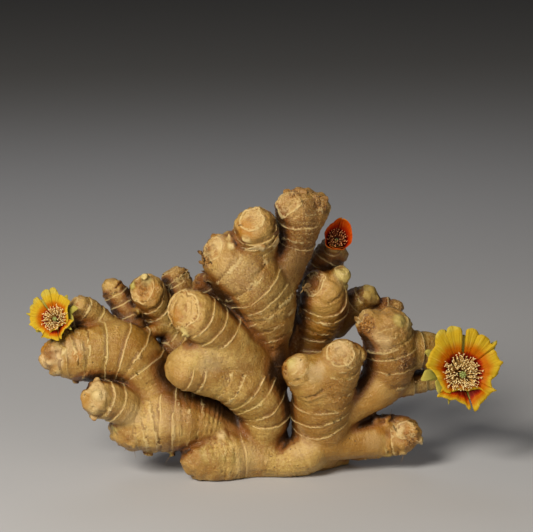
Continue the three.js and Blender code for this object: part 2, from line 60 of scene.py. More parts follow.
def addNode(tree, kind, inputs=(), give=0, stops=None, **settings):
    # adds a shader node; stops are a ramp's colours, and give is the output that comes back, or None
    # for all of them
    node = tree.nodes.new("ShaderNode" + kind)
    for name, value in settings.items():
        setattr(node, name, value)
    setInputs(tree, node, inputs)
    if stops:
        ramp = node.color_ramp
        while len(ramp.elements) < len(stops):
            ramp.elements.new(0.5)
        for element, (place, shade) in zip(ramp.elements, stops):
            element.position = place
            element.color = colour(shade)
    return node.outputs if give is None else node.outputs[give]


# settings that many nodes share
times, plus = {"operation": "MULTIPLY"}, {"operation": "ADD"}
eased = {"interpolation_type": "SMOOTHSTEP"}
tinted = {"data_type": "RGBA", "give": 2}


def newMaterial(name):  # with the function that adds its nodes, and the place that patterns read
    material = bpy.data.materials.new(name)
    material.use_nodes = True
    add = partial(addNode, material.node_tree)
    return material, add, add("TexCoord", give="Object")


def finishMaterial(material, inputs, relief, strength, depth):
    # sets the shader's inputs and bumps it by the relief, to a depth in mm
    tree = material.node_tree
    bump = addNode(tree, "Bump", {"Strength": strength, "Distance": depth * mm, "Height": relief})
    setInputs(tree, tree.nodes["Principled BSDF"], {**inputs, "Normal": bump})
    return material


def unit(vectors):
    return vectors / np.maximum(np.linalg.norm(vectors, axis=-1, keepdims=True), 1e-9)


def smoothStep(low, high, value):
    share = np.clip((value - low) / (high - low), 0, 1)
    return share * share * (3 - 2 * share)


def smoothMax(a, b, blend):  # the larger of two fields, with the corner between them rounded
    return np.maximum(a, b) + blend * np.log1p(np.exp(-np.abs(a - b) / blend))


def waves(points, size, seed, count=7):
    # slow lumps: the mean of sine waves in random directions, each about size mm long
    random = np.random.default_rng(seed)
    ways = unit(random.normal(size=(count, 3))) * (2 * np.pi / size)
    ways *= random.uniform(0.75, 1.35, (count, 1))
    return np.sin(points @ ways.T + random.uniform(0, 2 * np.pi, count)).mean(axis=1) * 1.8


def layered(points, layers):  # waves of several sizes, added up
    return sum(share * waves(points, size, seed) for share, size, seed in layers)


def splineThrough(stations, step):
    # a smooth curve through the stations: on each stretch a cubic whose end slopes are half the
    # difference of the neighbouring stations, then sampled again at equal lengths
    given = np.asarray(stations, float)
    padded = np.vstack([2 * given[0] - given[1], given, 2 * given[-1] - given[-2]])
    before, start, end, after = padded[:-3], padded[1:-2], padded[2:-1], padded[3:]
    slopeIn, slopeOut = (end - before) / 2, (after - start) / 2
    share = np.linspace(0, 1, 24, endpoint=False)[:, None, None]
    curve = ((2 * start - 2 * end + slopeIn + slopeOut) * share ** 3
             + (3 * end - 3 * start - 2 * slopeIn - slopeOut) * share ** 2 + slopeIn * share + start)
    curve = np.vstack([curve.transpose(1, 0, 2).reshape(-1, given.shape[1]), given[-1:]])
    length = np.concatenate([[0], np.cumsum(np.linalg.norm(np.diff(curve[:, :3], axis=0), axis=1))])
    places = np.linspace(0, length[-1], max(4, int(round(length[-1] / step)) + 1))
    return np.stack([np.interp(places, length, column) for column in curve.T], axis=1), places


def makePiece(name, points, faces, material):
    # puts arrays of points (mm) and of faces with equal corner counts into a mesh object
    mesh = bpy.data.meshes.new(name)
    faces = np.asarray(faces, np.int32)
    corners = faces.shape[1]
    mesh.vertices.add(len(points))
    mesh.vertices.foreach_set("co", (np.asarray(points, np.float32) * mm).ravel())
    mesh.loops.add(faces.size)
    mesh.loops.foreach_set("vertex_index", faces.ravel())
    mesh.polygons.add(len(faces))
    mesh.polygons.foreach_set("loop_start", np.arange(0, faces.size, corners, dtype=np.int32))
    mesh.update(calc_edges=True)
    mesh.polygons.foreach_set("use_smooth", np.ones(len(faces), bool))
    mesh.materials.append(material)
    mesh.validate()
    piece = bpy.data.objects.new(name, mesh)
    bpy.context.scene.collection.objects.link(piece)
    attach(piece, "root")
    return piece


def addAttribute(piece, name, values):  # one value, or one vector, for each vertex
    kind, key = ("FLOAT", "value") if values.ndim == 1 else ("FLOAT_VECTOR", "vector")
    layer = piece.data.attributes.new(name, kind, "POINT")
    layer.data.foreach_set(key, np.ascontiguousarray(values, np.float32).ravel())


view = {
    "aim": (0, 0, 106.5),  # mm, the middle of the photograph
    "away": 1100,  # mm
    "above": 12,  # degrees above the horizon
    "lens": 148.6,  # mm on a 36 mm sensor
}


def makeCamera():
    lens = bpy.data.cameras.new("camera")
    lens.lens = view["lens"]
    lens.sensor_width = 36
    lens.clip_end = 20
    camera = bpy.data.objects.new("camera", lens)
    tilt = math.radians(view["above"])
    x, y, z = view["aim"]
    back = view["away"]
    camera.location = (x * mm, (y - back * math.cos(tilt)) * mm, (z + back * math.sin(tilt)) * mm)
    camera.rotation_euler = (math.pi / 2 - tilt, 0, 0)
    bpy.context.scene.collection.objects.link(camera)
    bpy.context.scene.camera = camera


studio = {
    "floor": "#c0c1c6",
    "sky": "#a8a6a2",
    "skyStrength": 0.05,
    # softboxes: place and aim in m, size in m, power in W, tint
    "boxes": [
        ((-0.56, -0.92, 0.78), (0, 0, 0.07), 0.46, 19.6, "#fff7e8"),
        ((0.7, -1.0, 0.4), (0, 0, 0.06), 0.9, 3.0, "#fff2dc"),
        ((-0.15, 0.8, 0.9), (0, 0, 0.08), 0.6, 1.2, "#f4f7ff"),
    ],
}


def makeStudio():
    floor = bpy.data.meshes.new("floor")
    floor.from_pydata([(-6, -6, 0), (6, -6, 0), (6, 6, 0), (-6, 6, 0)], [], [(0, 1, 2, 3)])
    plane = bpy.data.objects.new("floor", floor)
    bpy.context.scene.collection.objects.link(plane)
    paper = bpy.data.materials.new("matt_background_paper")  # even, without gloss
    paper.use_nodes = True
    shader = paper.node_tree.nodes["Principled BSDF"]
    shader.inputs["Base Color"].default_value = colour(studio["floor"])
    shader.inputs["Roughness"].default_value = 0.9
    floor.materials.append(paper)
    world = bpy.data.worlds.new("studio")
    bpy.context.scene.world = world
    world.use_nodes = True
    sky = world.node_tree.nodes["Background"]
    sky.inputs["Color"].default_value = colour(studio["sky"])
    sky.inputs["Strength"].default_value = studio["skyStrength"]
    for number, (place, aim, size, power, tint) in enumerate(studio["boxes"]):
        light = bpy.data.lights.new("softbox_%d" % number, "AREA")
        light.size = size
        light.energy = power
        light.color = colour(tint)[:3]
        box = bpy.data.objects.new("softbox_%d" % number, light)
        way = np.array(aim) - np.array(place)
        box.location = place
        box.rotation_euler = (math.atan2(math.hypot(way[0], way[1]), -way[2]), 0,
                              math.atan2(way[1], way[0]) - math.pi / 2)
        bpy.context.scene.collection.objects.link(box)


hand = {
    "cell": 1.045,  # mm, of the grid that the skin is found on
    "sample": 2.0,  # mm between samples of a spine
    "melt": 1.05,  # mm, how softly two fingers join
    "reach": 6.0,  # mm outside a finger that its field counts
    "oval": 0.035, "lumps": 0.025,  # swelling of a section, as a share of its radius
    "ringGap": 8.0,  # mm between leaf scars where none are listed
    "crest": 0.46,  # mm, height of a leaf scar
    "crestWidth": 0.65,  # mm
    "ledge": 0.55,  # mm, the step down beyond it
    "wrinkle": 0.16,  # mm, folds across an old finger
    "crumb": 0.6,  # mm, how rough a torn or corky patch is
    "swell": 0.65,  # mm, how far the skin bulges between two scars
    "knob": 0.5,  # mm, the unevenness of a growing tip
    "scarSpan": 4.0,  # mm on each side of a scar that its pattern covers
    "box": ((-116, -40, -2.5), (106, 40, 152)),  # mm, lowest and highest corner of the grid
    "evened": 3,  # rounds that even the net out on the skin
    "blurred": 24,  # rounds of blur that a crease is measured against, for the shade painted into creases
    # lumps all over, crumbs in torn and corky patches and knobs at growing tips, and how far leaf
    # scars drift: each row is the share or the mm of a wave, its length in mm and its seed
    "lumpy": ((0.4, 17, 61), (0.14, 7, 62), (0.1, 2.8, 63)),
    "crumby": ((1, 3.4, 64), (0.7, 2.3, 68)), "knobby": ((1, 5.5, 65), (0.5, 3, 66)),
    "drift": ((0.55, 21, 31), (0.3, 8, 32)),
    "floorEdge": 0.35, "holeEdge": 0.25,  # mm, how round an edge the floor and a torn hole cut
    "sheltered": ((2.0, 0.2), (5.0, 0.35), (11.0, 0.45)),  # mm out from the skin, and its weight, for the occlusion that paints shade
    "shelterReach": 12.0,  # mm
    "tornSpread": 1.6, "corkSpread": 1.15, "stainSpread": 1.3,  # a patch's edge, in its radii
}

# Every finger that doesn't say otherwise has these
usual = {
    "tip": "dome",  # or disc, a round scar that cuts the tip off; dish, a hollow one; bud; or flat
    "cut": 0.68,  # how far out a disc lies, in radii of the tip, square to face
    "bold": 1.0,  # how much its leaf scars stand out
    "knobs": 1.0,  # unevenness of its growing tip
    "wrinkle": 1.0,  # folds across it
    "shade": 0.0,  # how dark its skin is: partly old skin, partly painted shade on fingers that catch less light
    "warm": 0.2, "pale": 0.0, "green": 0.0,  # tints
    "plain": False,  # an exactly round section
}

# The spine's stations are (x, y, z, radius) in mm from the buried root to the tip. Rings are the leaf
# scars' lengths along it, and tilt slants them. Webs, saddles and necks fill the joints of two fingers.
fingers = {
    "foot": {
        "spine": [(-2, 2, 11, 13.8), (-16, -6, 11, 14.2), (-27, -12, 11, 12.1), (-35, -15, 10, 8.5)],
        "rings": [30.8, 24.8, 20, 15.5, 8], "bold": 0.6, "wrinkle": 0.5, "shade": 0.14},
    "mother": {
        "spine": [(-2, 2, 9, 13.3), (-2, -2, 23, 12.7), (-2, -6, 36, 13.4), (-12, -10, 49, 14.5),
            (-27, -15, 56, 12.5), (-39, -20, 58.5, 11)],
        "rings": [78, 71.6, 57.4, 51.7, 43.2, 37.7, 30.2, 24.1], "knobs": 0.5, "warm": 0.3},
    "crown": {
        "spine": [(1, -2, 48, 10.1), (2, -2, 63, 8.8), (1, -3, 74, 10.8), (-2, -6, 87, 15.5),
            (-7, -10, 100, 16.9), (-15, -13, 110, 14.3), (-22, -16, 117, 9.3)],
        "rings": [68.8, 58.8, 53, 47.1, 42.1, 36.2, 28.9], "tilt": (-0.15, 0, 0), "tip": "disc",
        "face": (-0.62, -0.65, 0.42), "cut": 0.8, "shade": 0.36},
    "crownKnob": {
        "spine": [(-6, -8, 105, 10.9), (-5, -12, 116, 9.4), (-5, -17, 127, 10.3), (-6, -20, 132, 8.3)],
        "rings": [27, 23.5, 19], "tilt": (0, -0.35, 0), "tip": "disc", "face": (-0.25, -0.8, 0.55),
        "shade": 0.12, "warm": 0.3},
    "crownTall": {
        "spine": [(0, 0, 86, 11), (5.5, -1.5, 98, 10.6), (11, -2.5, 109, 9.1), (15, -4, 121, 8.9),
            (16.5, -7, 133, 10.6), (17.5, -7.5, 139, 8.8)],
        "rings": [55, 49.4, 42.2, 37], "wrinkle": 1.6, "shade": 0.85},
    "tallKnob": {
        "spine": [(15.5, -6, 132, 8.4), (13, -11, 137, 7.8), (11.2, -13.6, 139.8, 6.9)],
        "rings": [7], "tip": "disc", "face": (-0.4, -0.8, 0.45), "cut": 0.35, "shade": 0.55},
    "crownTallBump": {
        "spine": [(18, -5, 128, 8.4), (23, -6, 136, 7.2), (25, -7, 139, 5.7)],
        "wrinkle": 2, "shade": 0.35},
    "thumb": {
        "spine": [(-8, -8, 57, 12), (-14, -12, 66, 12), (-23, -18, 77, 11.4), (-33, -24, 86, 11.6),
            (-38.5, -27.5, 90, 10.8)],
        "rings": [42.7, 34.2, 26.6], "tip": "disc", "face": (-0.6, -0.75, 0.25), "cut": 0.42,
        "warm": 0.35},
    "motherSaddle": {
        "spine": [(-14, -14, 64, 11), (-25, -20, 68, 9.5), (-34, -22.5, 67, 8.8), (-40, -22, 63, 7.5)],
        "rings": [], "knobs": 0, "pale": 0.2},
    "webThumb": {
        "spine": [(-67, -8, 48, 7), (-76, -9, 52, 5), (-83, -11, 53.5, 3.5)],
        "rings": [], "knobs": 0},
    "axil": {
        "spine": [(-20, -2, 77, 6.5), (-26, -4, 89, 6.2), (-31, -6, 98, 5.5)],
        "rings": [22, 16, 10], "wrinkle": 2, "shade": 0.6},
    "leftPalm": {
        "spine": [(-11, 0, 18, 10.2), (-24, -3, 24, 11.1), (-36, -6, 29, 13.9), (-51, -8, 30, 16.6),
            (-64, -9, 28, 13.6), (-71, -9, 25, 8.6)],
        "rings": [52.7, 48.8, 44.7, 39.2, 33.9, 28.3], "bold": 1.1, "wrinkle": 0.2, "warm": 0.25},
    "leftLong": {
        "spine": [(-55, -4, 32, 13.1), (-59, -3, 46, 13.6), (-65, -4, 58, 13.6), (-74, -6, 64, 14.5),
            (-87, -9, 64, 13.5), (-98, -12, 64, 11), (-106, -14, 63, 7)],
        "rings": [65.8, 61.4, 56.2, 47.6, 39.9, 33.4, 26.8], "tilt": (0, 0, 0.12), "bold": 1.05,
        "knobs": 2, "warm": 0.5},
    "leftThumb": {
        "spine": [(-64, -10, 32, 9), (-71, -16, 38, 9.2), (-80, -21, 43, 9.2), (-85, -24, 44, 7.4)],
        "rings": [23.2, 17.2], "face": (-0.75, -0.65, -0.1), "knobs": 1.2, "warm": 0.3, "pale": 0.25},
    "leftStub": {
        "spine": [(-77, 0, 68, 8.6), (-84, -1, 77, 7.8), (-90, -4, 84, 6.8), (-94, -7, 87, 5.5)],
        "rings": [24, 16, 9], "tip": "disc", "face": (-0.75, -0.3, 0.6), "shade": 0.25},
    "leftStubFoot": {"spine": [(-90, -2, 82, 6), (-96, -3, 82, 5.5), (-101, -5, 80, 4.8)]},
    "leftRear": {
        "spine": [(-63, 6, 64, 7.1), (-67, 9, 72, 7.1), (-72, 11, 82, 7.1), (-76, 11, 90, 6.3),
            (-78, 11, 93, 4.8)],
        "rings": [30, 24, 16], "wrinkle": 1.8, "shade": 0.1},
    "scarred": {
        "spine": [(-34, 8, 56, 8.1), (-43, 10, 62, 8.1), (-50, 11, 72, 7.6), (-56, 9, 84, 8.6),
            (-60, 4, 92.5, 8.6)],
        "rings": [45, 37.5, 30, 22, 16], "tilt": (-0.3, -0.5, 0), "tip": "disc",
        "face": (-0.5, -0.8, 0.35), "cut": 0.6, "bold": 1.05, "shade": 0.1},
    "scarredTwin": {
        "spine": [(-39, 16, 70, 7.1), (-41, 17, 83, 7.9), (-44, 17, 91, 7.6), (-47, 17, 97, 6.4)],
        "rings": [28, 25, 20, 13], "tip": "disc", "shade": 0.5},
    "scarredNub": {"spine": [(-44, 9, 65, 5.1), (-49, 6, 63, 4.6), (-52, 4, 61, 3.5)], "shade": 0.4},
    "scarredBud": {"spine": [(-50, 6, 72, 3.5), (-56, 2, 73, 3), (-59, 0, 73, 2)], "tip": "bud"},
    "dark": {
        "spine": [(8, 8, 55, 7.1), (16, 16, 70, 7.7), (23, 20, 86, 7.7), (28, 20, 100, 7.9),
            (33, 18, 109, 7.6)],
        "rings": [60, 54, 49, 42, 35], "wrinkle": 2, "shade": 0.8},
    "middle": {
        "spine": [(24, 8, 32, 9.2), (22, 12, 46, 8.2), (22, 14, 59, 8.2), (25, 13, 70, 8.9),
            (28, 11, 81, 11.4), (29, 8, 89, 11.4), (26, 5, 95, 8.6)],
        "rings": [59.6, 54.2, 47.2, 40, 33], "tilt": (-0.2, -0.4, 0), "tip": "dish",
        "face": (-0.45, -0.75, 0.45), "cut": 0.7, "bold": 1.05, "shade": 0.05, "warm": 0.6},
    "middleBud": {
        "spine": [(31, 9, 89, 6.5), (36, 7.5, 97, 5), (37.5, 7, 100.5, 4.8)],
        "rings": [9.5], "tip": "disc", "face": (0.1, -0.5, 0.85), "knobs": 0.3, "pale": 0.3,
        "green": 0.5},
    "middleRear": {
        "spine": [(36, 18, 72, 6.6), (43, 20, 81, 7.2), (49, 20, 85, 6.4), (52, 19, 87, 4.8)],
        "rings": [19, 13], "shade": 0.4, "warm": 0.3, "pale": 0.15, "green": 0.35},
    "farRear": {
        "spine": [(53, 22, 69, 5.1), (58, 24, 78, 5.4), (63, 24, 80, 4.6), (67, 23, 80, 3.1)],
        "rings": [16, 10], "shade": 0.8},
    "right": {
        "spine": [(28, 4, 21, 10.2), (40, 4, 29, 8.4), (50, 2, 37, 8.1), (57, 0, 44, 10.1),
            (62, -2, 55, 12.1), (62, -4, 66, 12.6), (60, -6, 75, 11)],
        "rings": [75, 69.6, 64.1, 59.4, 51.4, 43.5], "tilt": (-0.1, 0, 0), "bold": 0.85, "shade": 0.4,
        "warm": 0.8},
    "rightHorn": {
        "spine": [(59, -5, 69, 8.5), (54, -8, 77, 7.7), (50, -9, 80, 6)],
        "rings": [], "tip": "dish", "cut": 0.75, "shade": 0.2, "warm": 0.6},
    "rightBud": {
        "spine": [(63, -3, 69, 7.5), (66, -7, 76, 6), (67, -9, 79, 4.5)],
        "tip": "disc", "face": (0.2, -0.8, 0.5), "cut": 0.6, "warm": 0.3, "pale": 0.3, "green": 0.4},
    "rightStubHigh": {
        "spine": [(63, 0, 62, 9.1), (74, 2, 63, 9.1), (83, 4, 62, 8.1), (91, 5, 57, 6.3),
            (98, 6, 53, 4.8)],
        "rings": [30, 22, 14], "warm": 0.3},
    "rightStubLow": {
        "spine": [(60, 2, 47, 9.1), (70, 4, 45, 6.6), (80, 6, 46, 5.3), (87, 8, 46, 4.6)],
        "rings": [21, 14], "warm": 0.4},
    "fore": {
        "spine": [(26, 2, 12, 12.2), (28, -4, 25, 13.7), (28, -9, 39, 14.1), (32, -13, 50, 12.2),
            (36, -17, 59, 9.9), (37, -20, 65, 8.7)],
        "rings": [60.9, 58.2, 53, 41.5, 33.6, 26.6, 19.4], "tilt": (-0.28, -0.2, 0), "tip": "disc",
        "face": (-0.1, -0.8, 0.6), "cut": 0.6, "bold": 0.88, "wrinkle": 0.1, "shade": 0.32,
        "warm": 0.7},
    "foreShoulder": {
        "spine": [(37, -16, 59, 8), (42, -16, 63, 6.4), (44.5, -16, 65.5, 4.8)],
        "rings": [], "warm": 0.6},
    "foreLobe": {
        "spine": [(28, -9, 41, 9.5), (22, -14, 50, 9.4), (17.5, -18, 56, 8.2), (15.5, -20, 59, 6.8)],
        "rings": [22, 17], "tip": "disc", "face": (-0.6, -0.7, 0.4), "cut": 0.72, "wrinkle": 0.1,
        "warm": 0.6, "pale": 0.15},
    "lowRight": {
        "spine": [(26, 4, 15, 10.2), (39, 5, 13, 9.2), (50, 4, 15, 9.7), (59, 2, 18, 10.9),
            (67, 0, 19, 9.4), (71, -2, 20, 7.4)],
        "rings": [40, 36, 30, 22], "tip": "disc", "face": (-0.13, -0.84, 0.53), "cut": 0.75,
        "wrinkle": 0.4, "warm": 0.85},
    "foreSaddle": {
        "spine": [(15, -18, 56.5, 7), (21, -18, 57, 8), (27, -17, 57.5, 8.4), (34, -18, 58.5, 8)],
        "rings": [], "knobs": 0, "wrinkle": 0.2, "warm": 0.5},
    "foreNeck": {
        "spine": [(26, -9, 40, 12), (23, -15, 48, 10.5), (21, -17, 52, 8)],
        "rings": [], "knobs": 0, "wrinkle": 0.2, "warm": 0.5},
    "webFoot": {
        "spine": [(-4, -8, 9, 10), (8, -9, 7, 8), (20, -8, 11, 11)],
        "rings": [], "knobs": 0, "wrinkle": 0.2},
    "webHigh": {
        "spine": [(32, -5, 30, 10.5), (45, -5, 37, 9), (56, -4, 45, 9.8)],
        "rings": [], "knobs": 0, "warm": 0.6},
    "webLow": {
        "spine": [(28, -4, 18, 11.5), (41, -3, 17, 9.6), (53, 0, 17, 9.8)],
        "rings": [], "knobs": 0, "wrinkle": 0.2, "warm": 0.7},
    "crownNeck": {
        "spine": [(3, -6, 92, 10), (6, -6, 103, 9), (10.5, -6, 112, 8.4)],
        "rings": [], "knobs": 0, "wrinkle": 2, "shade": 0.45},
    "bridge": {
        "spine": [(-4, 2, 10, 13.3), (10, 2, 3, 6.4), (26, 6, 9, 10.2), (36, 12, 6, 7.2)],
        "wrinkle": 0.2, "warm": 0.5},
    "backHeel": {"spine": [(-4, 6, 14, 12), (-10, 18, 11, 11.5), (-14, 27, 9, 9.5)], "wrinkle": 0.2},
    "backMother": {
        "spine": [(-4, 2, 36, 11), (-16, 16, 40, 10.5), (-24, 28, 44, 8.5)],
        "tip": "disc", "wrinkle": 0.2},
    "backPalm": {"spine": [(-52, -4, 32, 12), (-50, 12, 31, 10.5), (-47, 25, 31, 8.5)], "wrinkle": 0.2},
    "backCrown": {"spine": [(-5, -2, 94, 11), (-8, 14, 101, 10), (-7, 26, 108, 8)], "tip": "disc"},
    "backRight": {"spine": [(24, 8, 16, 11), (28, 20, 11, 10.5), (31, 29, 9, 8.5)]},
    "backRightHigh": {"spine": [(59, 0, 58, 9), (61, 16, 61, 8.5), (61, 27, 67, 7)]},
}

# Small buds and root stubs: where on the skin, which way, radius and height in mm, greenness, paleness
buds = [
    ((-58.8, -11.7, 14.4), (-0.3, -0.2, -1), 2.6, 3.4, 0.2, 0.2),
    ((-47.7, -11.1, 12.9), (0.1, -0.3, -1), 2.2, 2.8, 0.9, 0.3),
    ((-68.4, -10.9, 16.8), (-0.4, -0.3, -1), 2.2, 2, 0.3, 0.2),
    ((-66.6, -21.5, 20.9), (-0.5, -0.2, -1), 2.1, 2.2, 0.1, 0.2),
    ((-74.6, -18.6, 28.3), (-1, -0.3, -0.3), 2.3, 2, 0.7, 0.4),
    ((-95.1, -12.1, 52.2), (-0.4, -0.2, -1), 2.3, 3.2, 0, 0.1),
    ((-17.1, -23.8, 121.5), (0.1, -1, 0.7), 1.3, 1.2, 0, 1),
    ((-17.8, -21, 125), (-0.2, -0.4, 1), 1.1, 2.4, 0, 0.7),
    ((-29.5, -12, 103.5), (-1, -1, -0.1), 2, 1.3, 0.4, 0.8),
    ((-9.6, -25.2, 125.6), (-0.3, -0.9, 0.1), 1.7, 1.3, 0, 1),
    ((6.8, -5, 129), (-0.7, -0.6, 0.3), 2.2, 2, 1, 0.2),
    ((-60.8, -0.7, 100.5), (-0.3, -0.6, 0.8), 2.4, 1.6, 0.6, 0.8),
    ((-66.6, 4, 95.4), (-0.8, -0.5, 0.4), 1.8, 1.4, 0.9, 0.4),
    ((-64.4, 4, 82), (-0.8, -0.5, -0.2), 2.4, 1.8, 1, 0.3),
    ((17.2, 5.2, 83.2), (-1, -0.2, 0.1), 1.9, 1.6, 0.9, 0.4),
    ((16, 9.5, 73.3), (-1, -0.3, 0), 2.2, 2.2, 0.2, 0.2),
    ((77, -4, 17.5), (1, -0.3, -0.3), 2.6, 3, 0.1, 0.8),
    ((69.1, -5.8, 12), (0.1, -0.3, -1), 1.9, 2, 0.1, 0.5),
    ((61.5, -3.4, 10.6), (0, -0.3, -1), 2.8, 2.2, 0.4, 0),
    ((55.5, -1.9, 27.6), (0, -0.2, 1), 2.8, 1.2, 0, 0.1),
    ((61, -2.9, 28), (0, -0.2, 1), 2.4, 0.9, 0.1, 0.2),
    ((65.8, -13, 81.5), (0.4, -1, 0.7), 3.2, 1.3, 0.5, 0.35),
    ((13.1, -22.4, 61.4), (-0.3, -1, 0.2), 3.6, 1, 0.5, 0.25),
    ((46.8, -19.4, 64.5), (1, -0.2, 0.1), 1.3, 1.8, 0, 0.3),
    ((-22.2, -15.2, 23), (-0.1, -0.6, 0.8), 2.4, 1.4, 0, 0.3),
    ((-39.7, -33.6, 80), (0, -0.6, -0.8), 1.7, 1.3, 0.6, 0.6),
    ((-84, -21.6, 51.6), (-0.2, -0.2, 1), 1.6, 0.8, 0.6, 0.3),
    ((-85.3, -25, 36.7), (-0.1, -0.3, -1), 2.4, 2.2, 0.1, 0.4),
    ((-82.9, -29.7, 47.6), (-0.6, -1, 0.5), 2.8, 1.6, 0.1, 0.6),
    ((-85.2, -29.8, 42), (0, -1, -0.3), 2.8, 1.6, 0, 0.6),
    ((-105.6, -20.1, 69.3), (-0.4, -0.9, 1), 2, 0.9, 0, 0.2),
    ((-107.1, -21.7, 62.6), (-0.2, -1, -0.1), 2, 0.9, 0, 0.25),
    ((-103.8, -20.7, 58.2), (-0.4, -1, -0.7), 2.2, 1.1, 0.2, 0.3),
]

# Torn holes: middle and radius in mm
holes = [
    ((-32.5, -16.5, 116.5), 1.3), ((-31.5, -18, 113.6), 1.2), ((-30.7, -18.6, 112), 0.9),
    ((-28.4, -21.2, 113.4), 0.9), ((-26.9, -22.3, 113), 0.8), ((-29.6, -16.4, 118.6), 0.8),
]

# Corky, crumbling patches: middle, radius in mm and roughness
corks = [
    ((-29.7, -18, 114.9), 6, 0.8), ((-28.9, -13, 103.7), 4, 0.7), ((70, -13.4, 60.4), 6, 1),
    ((-107, -20.9, 66.5), 7, 0.5), ((-77.7, -28.8, 39.5), 4.5, 0.35), ((-84, -27.5, 36.5), 3, 0.6),
    ((-37.2, -20.2, 13.8), 6, 0.4), ((26.3, -12.6, 140.8), 5, 0.8), ((15, -13, 146.9), 5, 0.8),
    ((73.4, -7.5, 18.6), 5.5, 0.7), ((49.3, -15.3, 79.9), 5.5, 0.9), ((-74.3, 4.7, 85.4), 7.5, 0.4),
    ((10.6, -21.8, 58), 4, 0.7), ((-73.6, -19.4, 28), 5.5, 0.4), ((-67, -22.3, 23.7), 4, 0.4),
    ((-33, -10.9, 99.7), 5, 0.8), ((20.5, 1, 94), 5.5, 0.7), ((-62, -1.5, 95), 5, 0.6),
    ((58, 22, 82), 7, 0.8), ((60, -4, 27), 3, 0.25), ((-41, -30.5, 86), 3, 0.4),
]

# Local tints: middle, radius in mm and strength of translucent amber; of waxy cream, partly painted
# highlight; and of old brown skin, partly painted shade
stains = {
    "amber": [
        ((-10.6, -25.5, 130.2), 5.5, 1), ((-26.7, -16.9, 124.2), 4, 0.7), ((-46.2, -30.2, 87), 6, 0.6),
        ((9.2, -19.4, 59.9), 4.5, 0.8), ((58, -5, 26.5), 6, 0.9), ((72, -6.5, 21), 5, 0.6),
        ((22.3, 0.5, 92), 6, 0.4), ((-109.6, -19.4, 68.1), 5, 1), ((-105.5, -21, 60), 3.5, 0.9),
        ((48.8, -14.6, 80.5), 4.5, 0.6), ((-86.5, -27, 43.5), 6, 0.9), ((-60.8, -1.6, 94.6), 8, 0.7),
        ((-93.5, -22, 66), 3, 0.8), ((31.3, -23, 69), 3, 0.5), ((52, -9, 41), 9, 0.4),
        ((24, 8, 75), 9, 0.5),
    ],
    # pale waxy skin, partly painted highlight on glossy bulges
    "cream": [
        ((-27.8, -25, 64.5), 8, 0.5), ((-40.1, -34.1, 91.4), 6, 0.2), ((-6.6, -24.2, 136), 5.5, 0.3),
        ((-23.6, -20, 121.7), 5, 0.5), ((10.5, -14.2, 141.1), 6.5, 0.2),
        ((24.4, -25.3, 58.4), 5.5, 0.6), ((14, -24, 63), 4.5, 0.6), ((36.5, -23.1, 70.5), 5, 0.6),
        ((-66.7, -23.8, 36), 6, 0.5), ((-50.4, -23.6, 33.4), 13, 0.35), ((-94.5, -22.8, 69), 6, 0.5),
        ((-84.7, -26.5, 51.5), 5, 0.7), ((-81.8, -30, 48.5), 3.4, 1), ((-84.3, -30, 42.8), 3.4, 1),
        ((-8.3, -18.4, 11.1), 9, 0.35), ((-22.2, -17.9, 24), 2.5, 0.9), ((16.9, -11, 18), 10, 0.45),
        ((55.9, -15.5, 71), 7, 0.5), ((54.7, -9.8, 18.9), 6, 0.3), ((67.4, -7, 24.2), 4, 0.5),
        ((-107, -21, 64), 7.5, 0.9), ((36.9, 3.3, 99), 5, 0.4), ((-12.9, -27.6, 107.9), 12, 0.35),
        ((-13, -26, 112), 6, 0.3),
    ],
    # old brown skin, partly painted shade in shadowy necks, grooves and slits
    "brown": [
        ((14, -13, 108.8), 9, 0.8), ((9.1, -14.1, 112.9), 7, 0.7), ((9.6, -15, 134.1), 4.5, 0.8),
        ((14.5, -13.5, 118.4), 5, 0.7), ((22, 5.5, 64.4), 9, 0.5), ((-78.3, -28.5, 38.9), 6, 0.4),
        ((-29.9, -9.9, 99.2), 8, 0.8), ((31, 12, 103), 8, 0.6), ((70, -13, 58.5), 6, 0.4),
        ((66, -8, 30), 4, 0.5), ((-47.8, 9.4, 86.9), 6, 0.4), ((22.3, -16, 139.5), 5, 0.5),
    ],
}

# The flat scars that the blooms sit on: middle, facing and radius
seats = {
    "right": ((96, -2, 52.5), (0.15, -0.95, 0.2), 4.2),
    "left": ((-102.5, -11, 80.5), (-0.2, -0.87, 0.42), 3.4),
    "top": ((34, 9, 115), (0.15, -0.8, 0.58), 3.3),
}


def layFinger(name, finger, number):
    # samples one finger: centre, radius, direction and length along its spine, a fixed side
    # direction in each section, and how its tip closes
    finger = {**usual, **finger}
    line, places = splineThrough(finger["spine"], hand["sample"])
    centre, radius = line[:, :3], line[:, 3]
    along = unit(np.gradient(centre, axis=0))
    spread, ways = np.linalg.eigh(along.T @ along)
    across = unit(ways[:, 0] - (along @ ways[:, 0])[:, None] * along)
    random = np.random.default_rng(seeds["hand"] + number)
    face = unit(np.array(finger.get("face", along[-1]), float))
    if finger["tip"] == "bud":  # a bud tapers on beyond its last station
        steps = np.array([0.5, 0.85, 1.05])
        centre = np.vstack([centre, centre[-1] + steps[:, None] * radius[-1] * along[-1]])
        along = np.vstack([along, np.repeat(along[-1:], 3, axis=0)])
        across = np.vstack([across, np.repeat(across[-1:], 3, axis=0)])
        places = np.concatenate([places, places[-1] + steps * radius[-1]])
        radius = np.concatenate([radius, radius[-1] * np.array([0.8, 0.42, 0.15])])
    rings = finger.get("rings")
    if rings is None:  # evenly spread with a little chance
        count = max(1, int(places[-1] / hand["ringGap"]))
        rings = (np.arange(count) + 0.8 + random.uniform(-0.15, 0.15, count)) * places[-1] / count
        rings = rings[rings < places[-1]]
    turns, slant = random.uniform(0, 2 * np.pi, 4), random.uniform(-0.1, 0.1, 3)
    return {
        **finger, "name": name, "centre": centre, "radius": radius, "along": along, "across": across,
        "up": np.cross(along, across), "places": places, "face": face, "end": centre[-1],
        "endRadius": radius[-1], "rings": np.sort(np.array(rings, float)), "turns": turns,
        "tilt": np.array(finger.get("tilt", slant)),
    }


